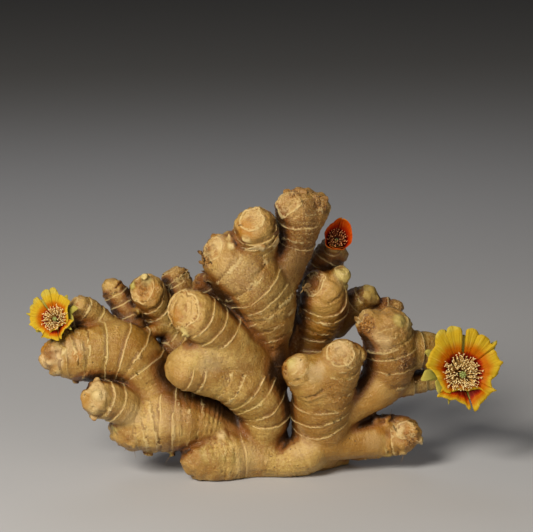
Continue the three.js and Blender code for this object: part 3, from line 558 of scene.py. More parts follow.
def measureFinger(finger, points):
    # For each point the nearest sample of the spine, and the next one on the point's side of it,
    # are mixed by their distances along the spine, so that the sections follow on smoothly.
    # Gives the distance outside the skin, the length along the spine, the cosine and sine of the
    # turn round it, and the section's radius.
    offsets = points[:, None, :] - finger["centre"][None, :, :]
    away = np.sqrt(np.einsum("ijk,ijk->ij", offsets, offsets)) - finger["radius"]
    near = away.argmin(axis=1)
    rows = np.arange(len(points))
    ahead = np.einsum("ij,ij->i", offsets[rows, near], finger["along"][near])
    last = len(finger["radius"]) - 1
    after = np.clip(near + np.where(ahead > 0, 1, -1), 0, last)
    behind = np.einsum("ij,ij->i", offsets[rows, after], finger["along"][after])
    between = (after != near) & (ahead * behind < 0)
    share = np.where(between, np.abs(ahead) / np.maximum(np.abs(ahead) + np.abs(behind), 1e-6), 0)

    def mixed(values):
        part = share if values.ndim == 1 else share[:, None]
        return values[near] * (1 - part) + values[after] * part

    along = unit(mixed(finger["along"]))
    offset = points - mixed(finger["centre"])
    atEnd = (after == near)
    slide = np.einsum("ij,ij->i", offset, along)
    half = 0.5 * hand["sample"]
    cut = np.where(between, slide, np.where(atEnd, 0, np.clip(slide, -half, half)))
    radial = offset - along * cut[:, None]
    size = mixed(finger["radius"])
    distance = np.linalg.norm(radial, axis=1)
    across, up = mixed(finger["across"]), mixed(finger["up"])
    cosine = np.einsum("ij,ij->i", radial, across) / np.maximum(distance, 1e-6)
    sine = np.einsum("ij,ij->i", radial, up) / np.maximum(distance, 1e-6)
    turn = np.arctan2(sine, cosine)
    if not finger["plain"]:
        size = size * (1 + hand["oval"] * np.sin(2 * turn + finger["turns"][0])
                       + hand["lumps"] * np.sin(3 * turn + finger["turns"][1]))
    field = distance - size
    outward = (points - finger["end"]) @ finger["face"]
    if finger["tip"] in ("disc", "dish"):
        sideways = np.linalg.norm(points - finger["end"] - outward[:, None] * finger["face"], axis=1)
        dome = 0.05 * finger["endRadius"] * waves(points, 5, 17)
        dome += 0.12 * sideways ** 2 / finger["endRadius"]
        field = smoothMax(field, outward - finger["cut"] * finger["endRadius"] + dome, 0.8)
        if finger["tip"] == "dish":  # a ball 1.2 radii wide dents it by a fifth of a radius
            ball = finger["end"] + finger["face"] * finger["endRadius"] * (finger["cut"] + 1.2 - 0.2)
            inside = 1.2 * finger["endRadius"] - np.linalg.norm(points - ball, axis=1)
            field = smoothMax(field, inside, 0.5)
    elif finger["tip"] == "flat":
        field = smoothMax(field, outward, 0.3)
    length = mixed(finger["places"]) + np.where(atEnd, slide, np.where(between, 0, cut))
    return field, length, cosine, sine, size


def layHand():
    # every finger, then the buds, which taper from a root in the skin, and the seats of the blooms
    laid = [layFinger(name, finger, number) for number, (name, finger) in enumerate(fingers.items())]
    for number, (place, way, radius, height, green, pale) in enumerate(buds):
        start, way = np.array(place, float), unit(np.array(way, float))
        stops = (-1.3 * radius, height - 0.95 * radius, height - 0.55 * radius)
        root, neck, tip = (start + way * far for far in stops)
        bud = {"spine": [(*root, radius), (*neck, radius * 0.95), (*tip, radius * 0.55)],
               "green": green, "pale": pale, "rings": [], "plain": True}
        laid.append(layFinger("bud_%d" % number, bud, 100 + number))
    for name, (place, facing, radius) in seats.items():
        way = unit(np.array(facing, float))
        root = np.array(place) - way * 9
        seat = {"spine": [(*root, radius * 1.25), (*place, radius)], "tip": "flat",
                "face": facing, "rings": [5.5], "plain": True}
        laid.append(layFinger(name + "_seat", seat, 200))
    return laid


def nearFinger(finger, points, reach=None):  # the points within reach of a finger
    margin = finger["radius"][:, None] + (reach or hand["reach"])
    low = (finger["centre"] - margin).min(axis=0)
    high = (finger["centre"] + margin).max(axis=0)
    return np.nonzero(((points > low) & (points < high)).all(axis=1))[0]


def holeDepth(place, radius, points):  # how deep in a torn hole, which is ragged, a point lies
    away = radius - np.linalg.norm(points - np.array(place), axis=1)
    return away + 0.4 * radius * waves(points, 2.2, 83)


def pierced(field, points):  # the field with the torn holes taken out
    for place, radius in holes:
        near = np.nonzero((np.abs(points - np.array(place)) < radius + 2).all(axis=1))[0]
        if len(near):
            depth = holeDepth(place, radius, points[near])
            field[near] = smoothMax(field[near], depth, hand["holeEdge"])
    return field


def meltedField(laid, points, reach=None):
    # minus melt times the log of the sum of exp(-distance / melt): a soft least distance, cut level
    # at the floor
    total = np.full(len(points), 1e-6)
    for finger in laid:
        near = nearFinger(finger, points, reach)
        if len(near):
            total[near] += np.exp(-measureFinger(finger, points[near])[0] / hand["melt"])
    field = pierced(-hand["melt"] * np.log(total), points)
    return smoothMax(field, -points[:, 2], hand["floorEdge"])


def gridField(laid, low, high):
    # the same field on a grid, added up box by box
    step = hand["cell"]
    axes = [np.arange(low[i], high[i] + step, step) for i in range(3)]
    total = np.full([len(axis) for axis in axes], 1e-6, np.float32)
    for finger in laid:
        margin = finger["radius"][:, None] + hand["reach"]
        lowest = (finger["centre"] - margin).min(axis=0)
        highest = (finger["centre"] + margin).max(axis=0)
        spans = [slice(*np.searchsorted(axes[i], (lowest[i], highest[i]))) for i in range(3)]
        box = [axes[i][spans[i]] for i in range(3)]
        if min(len(side) for side in box) == 0:
            continue
        points = np.stack(np.meshgrid(*box, indexing="ij"), axis=-1).reshape(-1, 3)
        chunks = np.array_split(points, len(points) // 60000 + 1)
        parts = [measureFinger(finger, chunk)[0] for chunk in chunks]
        shape = [len(side) for side in box]
        total[tuple(spans)] += np.exp(-np.concatenate(parts) / hand["melt"]).reshape(shape)
    field = -hand["melt"] * np.log(total)
    for place, radius in holes:
        spans = [slice(*np.searchsorted(axes[i], (place[i] - radius - 2, place[i] + radius + 2)))
                 for i in range(3)]
        box = np.stack(np.meshgrid(*[axes[i][spans[i]] for i in range(3)], indexing="ij"), axis=-1)
        depth = holeDepth(place, radius, box.reshape(-1, 3)).reshape(box.shape[:3])
        field[tuple(spans)] = smoothMax(field[tuple(spans)], depth, hand["holeEdge"])
    field = smoothMax(field, -axes[2][None, None, :], hand["floorEdge"])
    return field, np.array([axis[0] for axis in axes])


def surfaceNet(field, low, step):
    # one point in each cell that the surface crosses, at the mean of its crossed edges, and one
    # four-sided face round each crossed edge
    inside = field < 0
    size = np.array(inside.shape) - 1
    corners = np.zeros(size, np.int8)
    for i in (0, 1):
        for j in (0, 1):
            for k in (0, 1):
                corners += inside[i:size[0] + i, j:size[1] + j, k:size[2] + k]
    mixed = (corners > 0) & (corners < 8)
    index = np.full(mixed.shape, -1, np.int64)
    index[mixed] = np.arange(mixed.sum())
    cells = np.argwhere(mixed)
    total = np.zeros((len(cells), 3))
    count = np.zeros(len(cells))
    faces = []
    for axis in range(3):
        second, third = (axis + 1) % 3, (axis + 2) % 3
        for i in (0, 1):
            for j in (0, 1):
                start = cells.copy()
                start[:, second] += i
                start[:, third] += j
                end = start.copy()
                end[:, axis] += 1
                a, b = field[tuple(start.T)], field[tuple(end.T)]
                crossed = (a < 0) != (b < 0)
                share = np.where(crossed, a / np.where(crossed, a - b, 1), 0)
                point = start.astype(float)
                point[:, axis] += share
                total += point * crossed[:, None]
                count += crossed
        turned = inside.transpose(axis, second, third)
        numbers = index.transpose(axis, second, third)
        near, far = turned[:-1, 1:-1, 1:-1], turned[1:, 1:-1, 1:-1]
        i, j, k = np.nonzero(near != far)
        ring = np.stack([numbers[i, j, k], numbers[i, j + 1, k], numbers[i, j + 1, k + 1],
                         numbers[i, j, k + 1]], axis=1)
        outward = near[i, j, k]
        ring[~outward] = ring[~outward][:, ::-1]
        faces.append(ring)
    return low + step * total / count[:, None], np.concatenate(faces)


def edgesOf(faces):
    pairs = np.concatenate([faces[:, [i, (i + 1) % 4]] for i in range(4)])
    return np.unique(np.sort(pairs, axis=1), axis=0)


def neighbourMean(values, edges):  # the mean of each point's neighbours
    total = np.zeros_like(values)
    count = np.bincount(edges.ravel(), minlength=len(values))
    for column in range(values.shape[1]):
        total[:, column] = (np.bincount(edges[:, 0], values[edges[:, 1], column], len(values))
                            + np.bincount(edges[:, 1], values[edges[:, 0], column], len(values)))
    return total / np.maximum(count, 1)[:, None]


def normalsOf(points, faces):
    corner = points[faces]
    cross = np.cross(corner[:, 2] - corner[:, 0], corner[:, 3] - corner[:, 1])
    total = np.zeros_like(points)
    for i in range(4):
        for column in range(3):
            total[:, column] += np.bincount(faces[:, i], cross[:, column], len(points))
    return unit(total)


def slopeAlong(points, values, edges):
    # how fast a value changes over the surface: the root mean square of its slope on a point's edges
    first, second = edges[:, 0], edges[:, 1]
    change = np.abs(values[first] - values[second])
    length = np.linalg.norm(points[first] - points[second], axis=1)
    slope = np.where(change < 2 * length, change / np.maximum(length, 0.2), 0) ** 2
    total = np.bincount(first, slope, len(points)) + np.bincount(second, slope, len(points))
    count = np.bincount(edges.ravel(), minlength=len(points))
    mean = neighbourMean((total / np.maximum(count, 1))[:, None], edges)[:, 0]
    return np.clip(np.sqrt(2 * mean), 0.3, 1.6)


def settle(laid, points, faces, edges, rounds):
    # evens the net out along the skin and puts each point back on it
    for _ in range(rounds):
        normal = normalsOf(points, faces)
        pull = neighbourMean(points, edges) - points
        points = points + 0.6 * (pull - normal * np.einsum("ij,ij->i", pull, normal)[:, None])
        points = points - normalsOf(points, faces) * meltedField(laid, points)[:, None] * 0.9
    return points


def leafScars(finger, spots, placed):
    # the signed distance to the nearest leaf scar, how much it stands out, and how far the skin swells
    # between two of them, in a bow that leans a little to the tip
    gaps = placed[:, None] - finger["rings"]
    ring = np.abs(gaps).argmin(axis=1)
    uneven = waves(spots + ring[:, None] * 37.0, 15, 47)  # far apart, so each ring has its own waves
    strength = np.clip((0.85 + 0.3 * uneven) * finger["bold"], 0.42, 1.2)
    stops = finger["rings"]
    stops = np.concatenate([stops[:1] - 9, stops, stops[-1:] + 9])
    below = np.clip(np.searchsorted(stops, placed) - 1, 0, len(stops) - 2)
    gap = stops[below + 1] - stops[below]
    part = np.clip((placed - stops[below]) / gap, 0, 1)
    swell = (1 - np.abs(2 * part ** 1.15 - 1) ** 2.2) * np.clip(gap / 8, 0.4, 1.3)
    return gaps[np.arange(len(ring)), ring], strength, swell


def roundScar(finger, spots, outward):
    # the round scar at a tip: how far it covers each point, the signed distance to the nearest of its
    # three rings, and how much that stands out
    cut = finger["cut"] * finger["endRadius"]
    rim = finger["endRadius"] * math.sqrt(1 - finger["cut"] ** 2)
    sideways = spots - finger["end"] - outward[:, None] * finger["face"]
    sideways = np.linalg.norm(sideways, axis=1)
    fallen = 0.12 * sideways ** 2 / finger["endRadius"]
    if finger["tip"] == "dish":
        fallen = fallen + 0.2 * finger["endRadius"] * np.clip(1 - (sideways / rim) ** 2, 0, 1)
    capped = smoothStep(cut - 1.9, cut - 1.1, outward + fallen) * (sideways < 1.3 * rim)
    rings = np.array((0.38 + 0.02 * finger["turns"][2], 0.68, 0.95)) * rim
    gaps = sideways[:, None] + 0.9 * waves(spots, 7, 71)[:, None] - rings
    ring = np.abs(gaps).argmin(axis=1)
    faint = np.clip(0.4 + 0.4 * waves(spots, 6, 72), 0, 0.55)
    return capped, -1.3 * gaps[np.arange(len(ring)), ring], np.where(ring == 2, 0.85, faint)


def scarField(laid, points):
    # for every point: the signed distance to its nearest leaf scar as a phase, coordinates for the
    # lengthwise fibre, the finger's direction, its tones (capped by a disc, young, green, shade, pale,
    # swelling, knobs, wrinkle, warm), and the same distance unmixed
    count = len(points)
    weight = np.full(count, 1e-9)
    phase, grain, way, tones = (np.zeros((count, size)) for size in (2, 3, 3, 9))
    best = np.full(count, 1e9)
    nearest = np.zeros((count, 2))
    drift = layered(points, hand["drift"])
    for finger in laid:
        near = nearFinger(finger, points)
        if not len(near):
            continue
        spots = points[near]
        field, length, cosine, sine, size = measureFinger(finger, spots)
        share = np.exp(-2.2 * field / hand["melt"])
        centre = np.stack([np.interp(length, finger["places"], side) for side in finger["centre"].T],
                          axis=-1)
        placed = length + (spots - centre) @ finger["tilt"] + drift[near]
        outward = (spots - finger["end"]) @ finger["face"]
        signed = np.full(len(near), 9.0)
        strength, swell, capped = np.zeros((3, len(near)))
        if len(finger["rings"]):
            signed, strength, swell = leafScars(finger, spots, placed)
        if finger["tip"] in ("disc", "dish"):
            capped, inner, bold = roundScar(finger, spots, outward)
            signed, strength = np.where(capped > 0.5, (inner, bold), (signed, strength))
            swell = np.where(capped > 0.5, 0, swell)
        signed = np.clip(signed, -hand["scarSpan"], hand["scarSpan"])
        angle = signed * np.pi / hand["scarSpan"]
        weight[near] += share
        phase[near] += (share * strength)[:, None] * np.stack([np.cos(angle), np.sin(angle)], axis=1)
        grain[near] += share[:, None] * np.stack([size * cosine, size * sine, length * 0.13], axis=1)
        closest = field < best[near]
        best[near] = np.where(closest, field, best[near])
        nearest[near] = np.where(closest[:, None], np.stack([signed, strength], axis=1), nearest[near])
        number = np.abs(finger["places"][None, :] - length[:, None]).argmin(axis=1)
        way[near] += share[:, None] * finger["along"][number]
        end = finger["places"][-1]
        young = smoothStep(end - 1.5 * finger["endRadius"], end + 0.5 * finger["endRadius"],
                           length + np.maximum(outward, 0))
        same = np.ones(len(near))
        tones[near] += share[:, None] * np.stack(
            [capped, young, same * finger["green"], same * finger["shade"], same * finger["pale"],
             swell, young * (1 - capped) * finger["knobs"], finger["wrinkle"] * np.sin(placed * 2.5),
             same * finger["warm"]], axis=1)
    return phase / weight[:, None], grain / weight[:, None], unit(way), tones / weight[:, None], nearest


def reliefAt(signed, strength):
    # a leaf scar: a narrow crest, a slope up to it from the root side and a step down beyond it
    crest = hand["crest"] * np.exp(-(signed / hand["crestWidth"]) ** 2)
    slope = hand["ledge"] * np.where(signed < 0, np.exp(signed / 2.6), np.exp(-signed / 0.5))
    hollow = -0.2 * np.exp(-((signed - 1.4) / 0.8) ** 2)
    return strength * crest + (0.35 + 0.65 * strength) * (slope + hollow)


def occlusionForShade(laid, points, normal):
    # how closed in each point is, an occlusion that paints shade between fingers: at some places out
    # along its normal, the share by which the skin lies nearer than the way out to there
    total = np.zeros(len(points))
    for step, part in hand["sheltered"]:
        away = meltedField(laid, points + normal * step, hand["shelterReach"])
        total += part * np.clip(1 - away / step, 0, 1)
    return total


def patchField(points, patches, spread):  # how deep a point lies in its strongest patch, from 0 to 1
    most = np.zeros(len(points))
    for place, radius, *strength in patches:
        away = np.linalg.norm(points - np.array(place), axis=1)
        away = away + 0.22 * radius * waves(points, 0.9 * radius, 81)
        depth = smoothStep(spread * radius, 0.45 * spread * radius, away)
        most = np.maximum(most, depth * (strength or [1])[0])
    return most


def makeHand(material):
    laid = layHand()
    field, origin = gridField(laid, *hand["box"])
    points, faces = surfaceNet(field, origin, hand["cell"])
    print("hand: net of", len(points), "points and", len(faces), "faces")
    edges = edgesOf(faces)
    points = settle(laid, points, faces, edges, hand["evened"])
    _, _, way, _, nearest = scarField(laid, points)
    signed, strength = nearest[:, 0], nearest[:, 1]
    half, far = hand["cell"] * 0.5, np.abs(signed)  # points near a scar slide onto its crest
    partly = np.where(far < 3 * half, -np.sign(signed) * (3 * half - far) * 0.5, 0)
    slide = np.where(far < half, -signed, partly) * (strength > 0.3)
    points = points + way * slide[:, None]
    for _ in range(2):
        points = points - normalsOf(points, faces) * meltedField(laid, points)[:, None] * 0.9
    phase, grain, way, tones, nearest = scarField(laid, points)
    normal = normalsOf(points, faces)
    # where the skin slopes the distance runs fast or slow, so it is divided by its own slope
    steepness = slopeAlong(points, nearest[:, 0], edges)
    nearest[:, 0] = nearest[:, 0] / steepness
    angle = np.clip(np.arctan2(phase[:, 1], phase[:, 0]) / steepness, -np.pi, np.pi)
    loudness = np.linalg.norm(phase, axis=1)
    phase = loudness[:, None] * np.stack([np.cos(angle), np.sin(angle)], axis=1)
    blurred = points.copy()
    for _ in range(hand["blurred"]):
        blurred = 0.5 * blurred + 0.5 * neighbourMean(blurred, edges)
    crease = np.einsum("ij,ij->i", blurred - points, normal)  # how far the skin lies below its blur, which paints shade into creases
    closed = occlusionForShade(laid, points, normal)
    torn = patchField(points, holes, hand["tornSpread"])
    corky = patchField(points, corks, hand["corkSpread"])
    # the relief: lumps, swellings, scars, crumbs on cork, knobs at the tips and folds, less on a disc
    lumps = layered(points, hand["lumpy"])
    calm = 1 - 0.7 * tones[:, 0]
    height = lumps * calm + hand["swell"] * tones[:, 5] + reliefAt(nearest[:, 0], nearest[:, 1]) - 0.25
    height += corky * hand["crumb"] * layered(points, hand["crumby"])
    height += tones[:, 6] * hand["knob"] * layered(points, hand["knobby"])
    height += hand["wrinkle"] * tones[:, 7] * smoothStep(-0.3, 0.5, waves(points, 15, 67)) * calm
    height *= smoothStep(0.2, 1.5, points[:, 2])  # none on the cut that it stands on
    points = points + normal * height[:, None]
    points[:, 2] = np.maximum(points[:, 2], 0)
    piece = makePiece("ginger_hand", points, faces, material)
    addAttribute(piece, "scar", np.column_stack([phase, tones[:, 3]]))
    addAttribute(piece, "grain", grain)
    addAttribute(piece, "tone", np.column_stack([crease, tones[:, 0], tones[:, 1]]))
    # closed is the occlusion that paints shade between fingers
    addAttribute(piece, "patch", np.column_stack([tones[:, 2], torn, closed]))
    tints = [patchField(points, patches, hand["stainSpread"]) for patches in stains.values()]
    addAttribute(piece, "stain", np.column_stack(tints))
    addAttribute(piece, "crust", np.column_stack([corky, tones[:, 4], tones[:, 8]]))
    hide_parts("rhizome")
    return {"points": points, "normal": normalsOf(points, faces), "way": way, "scar": nearest}


gingerSkin = {
    "base": "#a0762f", "pale": "#c9a75c", "warm": "#8a581a", "olive": "#9d8840", "gold": "#9a6a1e",
    # crease: dark skin of wrinkles, pits and old fingers, and painted shade in creases and gaps; the
    # next one, near black, is painted shade in the deepest gaps
    "crease": "#7a4408", "paintedDeepShade": "#1e0d02", "scar": "#dcc48a", "scarShade": "#65400f",
    "bandGreen": "#b3a150", "tip": "#c39c58", "disc": "#c8a467", "blotch": "#9a6424",
    "amber": "#aa6f0c", "waxy": "#e2c694", "green": "#b0ae4a", "cream": "#dcc488",
    # torn: near black, partly dry torn tissue and partly painted shade inside the holes
    "corkDark": "#4e2d0e", "corkPale": "#cfae76", "rust": "#96561a", "torn": "#180c04",
    "speck": "#34210c",
    # sizes in mm; the wrinkles' two are across and along a finger
    "lumpSize": 13, "cloudSize": 19, "mottleSize": 3.0, "pitSize": 0.9, "crumbSize": 1.0,
    "fibreWidth": 0.9, "wrinkleShape": (0.16, 0.16, 7.0), "unevenSize": 1.6, "wornSize": 3.5,
    "speckGap": 4.2, "bumpHeight": 0.5,
}


def makeGingerSkin():
    # ginger rhizome skin, a thin dry cork over juicy flesh: a soft sheen, pale scars, fine fibres
    look = gingerSkin
    material, add, place = newMaterial("ginger_rhizome_skin")
    grain = add("Attribute", give="Vector", attribute_name="grain")
    stored = [add("SeparateXYZ", (add("Attribute", give="Vector", attribute_name=name),), None)
              for name in ("scar", "tone", "patch", "crust", "stain")]
    # crease and closed carry the painted shade in creases and between fingers
    (cosine, sine, shade), (crease, capped, young), (green, torn, closed) = stored[:3]
    (corky, cream, warmth), stained = stored[3:]
    crossed = add("VectorMath", (grain, look["wrinkleShape"]), **times)
    # patterns, each on its coordinates with its size, detail and roughness: lumps, clouds, mottles,
    # pits and crumbs lie anywhere, fibres run along a finger and wrinkles across it
    noises = [
        (place, look["lumpSize"] * mm, 3, 0.5), (place, look["cloudSize"] * mm, 2, 0.5),
        (place, look["mottleSize"] * mm, 4, 0.6), (place, look["pitSize"] * mm, 3, 0.65),
        (place, look["crumbSize"] * mm, 3, 0.6), (grain, look["fibreWidth"], 3, 0.6),
        (crossed, 1.0, 3, 0.6), (grain, look["unevenSize"], 2, 0.5), (grain, look["wornSize"], 2, 0.5),
    ]
    lumps, cloud, mottle, pitted, crumbs, fibre, wrinkle, uneven, worn = (
        add("TexNoise", {"Vector": on, "Scale": 1 / size, "Detail": detail, "Roughness": rough})
        for on, size, detail, rough in noises)
    # the scar's distance in mm from its phase, made a little uneven
    angle = add("Math", (sine, cosine), operation="ARCTAN2")
    squares = [add("Math", (side, side), **times) for side in (cosine, sine)]
    strength = add("Math", (add("Math", squares, **plus), 0.5), operation="POWER")
    signed = add("Math", (add("Math", (angle, hand["scarSpan"] / math.pi), **times),
                          add("MapRange", (uneven, 0.0, 1.0, -0.4, 0.4))), **plus)
    # the scar's pale line, the shade beyond it and the greenish band of younger skin after that
    away = add("Math", (signed, 0), operation="ABSOLUTE")
    line = add("MapRange", (away, 0.05, 0.66, 1.0, 0.0), **eased)
    line = add("Math", (line, add("MapRange", (worn, 0.3, 0.5, 0.5, 1.0), **eased)), **times)
    line = add("Math", (line, strength), **times)
    beyond = add("Math", (add("MapRange", (signed, 0.3, 0.9), **eased),
                          add("MapRange", (signed, 1.0, 3.0, 1.0, 0.0), **eased)), **times)
    beyond = add("Math", (beyond, strength), **times)
    banded = add("Math", (add("MapRange", (signed, -0.6, 0.3), **eased),
                          add("MapRange", (signed, 0.8, 3.6, 1.0, 0.0), **eased)), **times)
    banded = add("Math", (banded, add("MapRange", (cloud, 0.45, 0.6), **eased)), **times)
    # the local tints break up into streaks and blotches
    streaky = add("MapRange", (add("Math", (mottle, fibre), **plus), 0.6, 1.4, -0.35, 0.35))
    # the cream tint is partly a painted highlight, the brown one partly painted shade
    amber, waxy, old = (add("Math", (part, add("Math", (part, streaky), **times)), **plus)
                        for part in stained)
    rimmed = add("Math", (line, capped), **times)
    # an old finger's skin is rough: dark pits and bleached grains
    aged = add("Math", (shade, add("MapRange", (pitted, 0.5, 0.64), **eased)), **times)
    bleached = add("Math", (shade, add("MapRange", (pitted, 0.48, 0.34), **eased)), **times)
    blotched = add("Math", (capped, add("MapRange", (mottle, 0.48, 0.62), **eased)), **times)
    # painted shade: darker where the skin lies below its blur, in creases
    paintedCreaseShade = add("Math", (crease, add("MapRange", (mottle, 0.0, 1.0, -0.15, 0.15))), **plus)
    # painted shade: darker where neighbouring skin closes a point in, to near black in the deepest gaps
    paintedOcclusionShade = add("Math", (closed, add("MapRange", (lumps, 0.0, 1.0, -0.12, 0.12))), **plus)
    # torn holes painted near black: partly dry tissue, partly painted shade inside them
    ragged = add("Math", (torn, add("MapRange", (crumbs, 0.0, 1.0, -0.35, 0.35))), **plus)
    # a corky patch: rusty skin, pale crumbs and dark cracks between them
    patchy = add("Math", (corky, add("MapRange", (mottle, 0.0, 1.0, -0.3, 0.3))), **plus)
    patchy = add("MapRange", (patchy, 0.15, 0.5), **eased)
    crack = add("Math", (add("MapRange", (corky, 0.4, 0.7), **eased),
                         add("MapRange", (crumbs, 0.5, 0.38), **eased)), **times)
    crumb = add("Math", (patchy, add("MapRange", (crumbs, 0.52, 0.64), **eased)), **times)
    # dark specks: a dot in the middle of a few cells
    cell = add("TexVoronoi", {"Vector": place, "Scale": 1 / (look["speckGap"] * mm)}, None)
    few = add("SeparateColor", (cell["Color"],))
    spot = add("Math", (add("MapRange", (cell["Distance"], 0.05, 0.13, 1.0, 0.0), **eased),
                        add("MapRange", (few, 0.4, 0.45), **eased)), **times)
    # each layer: a pattern, the two values between which it sets in, how much of it, and its colour
    layers = [
        (lumps, 0.36, 0.62, 1.0, "pale"), (cloud, 0.5, 0.7, 0.4, "olive"),
        (mottle, 0.46, 0.72, 0.55, "warm"), (fibre, 0.4, 0.75, 0.42, "warm"),
        # fine wrinkles, darker in their folds and paler on their ridges: partly the skin's own lines,
        # partly painted shade and highlight
        (wrinkle, 0.52, 0.74, 0.18, "crease"), (wrinkle, 0.46, 0.3, 0.2, "cream"),
        (pitted, 0.52, 0.7, 0.46, "crease"), (pitted, 0.46, 0.28, 0.46, "cream"),
        (warmth, 0.0, 1.0, 0.8, "gold"), (banded, 0.0, 1.0, 0.3, "bandGreen"),
        # shade: a finger's darker skin, partly old skin and partly painted shade; aged: its dark pits
        (shade, 0.0, 1.0, 0.7, "crease"), (aged, 0.0, 1.0, 0.7, "crease"),
        (bleached, 0.0, 1.0, 0.6, "cream"), (young, 0.0, 1.0, 0.3, "tip"),
        (capped, 0.0, 1.0, 0.4, "disc"), (blotched, 0.0, 1.0, 0.6, "blotch"),
        # old: brown skin, partly painted shade; waxy: cream skin, partly painted highlight
        (old, 0.0, 1.0, 0.7, "scarShade"), (waxy, 0.0, 1.0, 0.6, "waxy"),
        (amber, 0.0, 1.0, 0.75, "amber"), (green, 0.0, 1.0, 0.8, "green"),
        (cream, 0.0, 1.0, 0.8, "cream"), (patchy, 0.0, 1.0, 0.35, "rust"),
        (crack, 0.0, 1.0, 0.75, "corkDark"), (crumb, 0.0, 1.0, 0.6, "corkPale"),
        # painted shade in creases and between fingers, near black in the deepest gaps, and painted
        # shade beyond each scar
        (paintedCreaseShade, 0.1, 0.9, 0.7, "crease"), (paintedOcclusionShade, 0.1, 0.45, 0.85, "crease"),
        (paintedOcclusionShade, 0.45, 0.8, 0.85, "paintedDeepShade"), (beyond, 0.0, 1.0, 0.66, "scarShade"),
        (line, 0.0, 1.0, 0.58, "scar"), (rimmed, 0.0, 1.0, 0.22, "cream"),
        (ragged, 0.35, 0.65, 0.95, "torn"), (spot, 0.0, 1.0, 0.7, "speck"),
    ]
    skin = colour(look["base"])
    for value, low, high, most, name in layers:
        share = add("MapRange", (value, low, high, 0.0, most), **eased)
        skin = add("Mix", {0: share, 6: skin, 7: colour(look[name])}, **tinted)
    # relief: each pattern's share of the bump's height, added up
    height = 0.0
    for value, share in ((fibre, 0.6), (pitted, -1.35), (wrinkle, 0.55), (aged, -0.6), (line, 0.5),
                         (spot, -0.4), (crack, -0.9), (crumb, 0.7), (ragged, -0.8)):
        height = add("Math", (value, share, height), operation="MULTIPLY_ADD")
    rough = add("MapRange", (fibre, 0.2, 0.8, 0.26, 0.42))
    return finishMaterial(material, {"Base Color": skin, "Roughness": rough, "IOR": 1.5}, height, 0.8,
                          look["bumpHeight"])


def sheetFaces(rows, columns):  # a front and a back grid, joined along their rims
    number = np.arange(rows * columns).reshape(rows, columns)
    quads = np.stack([number[:-1, :-1], number[:-1, 1:], number[1:, 1:], number[1:, :-1]], axis=-1)
    quads = quads.reshape(-1, 4)
    rim = np.concatenate([number[0, :-1], number[:-1, -1], number[-1, :0:-1], number[:0:-1, 0]])
    following = np.roll(rim, -1)
    far = rows * columns
    sides = np.stack([following, rim, rim + far, following + far], axis=-1)
    return np.concatenate([quads, quads[:, ::-1] + far, sides])


def tubeFaces(stations, sides):  # a tube of an even number of sides, closed by flat ends
    number = np.arange(stations * sides).reshape(stations, sides)
    after = np.roll(number, -1, axis=1)
    quads = np.stack([number[:-1], after[:-1], after[1:], number[1:]], axis=-1).reshape(-1, 4)
    cap = np.array([(0, i, i + 1, i + 2) for i in range(1, sides - 1, 2)])
    return np.concatenate([quads, cap[:, ::-1], cap + (stations - 1) * sides])


def facingOut(points, faces):  # turns all faces round if together they hold a negative volume
    a, b, c, d = (points[faces[:, i]] for i in range(4))
    volume = np.einsum("ij,ij->", a, np.cross(b, c)) + np.einsum("ij,ij->", a, np.cross(c, d))
    return faces if volume > 0 else faces[:, ::-1]


def joinShapes(shapes):  # shapes are (points, faces, values) with one row of values for each point
    offset = np.cumsum([0] + [len(shape[0]) for shape in shapes[:-1]])
    return (np.concatenate([shape[0] for shape in shapes]),
            np.concatenate([shape[1] + start for shape, start in zip(shapes, offset)]),
            np.concatenate([shape[2] for shape in shapes]))


def makeTubes(paths, radii, sides, values):
    # every path (tubes, stations, 3) carries a round section of its own radii; the section's two
    # directions stand square to the path, the first one also to the axis that the path runs least along
    tangent = unit(np.gradient(paths, axis=1))
    least = np.eye(3)[np.abs(tangent.mean(axis=1)).argmin(axis=1)][:, None, :]
    across = unit(np.cross(tangent, least))
    up = np.cross(tangent, across)
    turn = np.arange(sides) * 2 * np.pi / sides
    ring = (across[:, :, None, :] * np.cos(turn)[:, None] + up[:, :, None, :] * np.sin(turn)[:, None])
    points = paths[:, :, None, :] + ring * radii[:, :, None, None]
    count, stations = paths.shape[:2]
    faces = facingOut(points[0].reshape(-1, 3), tubeFaces(stations, sides))
    faces = (faces[None] + np.arange(count)[:, None, None] * stations * sides).reshape(-1, 4)
    values = np.broadcast_to(values[:, :, None, :], (count, stations, sides, values.shape[-1]))
    return points.reshape(-1, 3), faces, values.reshape(-1, values.shape[-1])


# The blooms stand on their seats: heights along the axis count from the seat, scale fits the petals'
# outlines, size is a petal's length in mm, over which its colours run, roll turns it (degrees), and the
# two leans (right and up, mm) bend the petals and the stamens aside with height.
blooms = {
    "right": {
        "ovary": 5.4, "throat": 4.9, "scale": 1, "size": 22, "roll": 0, "mirrored": False,
        "kind": "open", "lean": (0, 0), "coreLean": (-0.8, -0.8), "stamens": 225, "stamenLength": 8.4,
        "spread": 10.2, "styleLength": 9.4, "stigma": 1.5, "anther": 0.37},
    "left": {
        "ovary": 3.8, "throat": 3.1, "scale": 0.6, "size": 10.8, "roll": 32, "mirrored": True,
        "kind": "open", "lean": (-1.3, 0.1), "coreLean": (0.2, -0.8), "stamens": 110,
        "stamenLength": 5.4, "spread": 6.9, "styleLength": 6, "stigma": 0.95, "anther": 0.3},
    "top": {
        "ovary": 3, "throat": 3, "scale": 1, "size": 12, "roll": 0, "mirrored": False, "kind": "cup",
        "lean": (0, 0), "coreLean": (0, 0), "stamens": 76, "stamenLength": 4.5, "spread": 5.6,
        "styleLength": 3.6, "stigma": 0.8, "anther": 0.21},
}

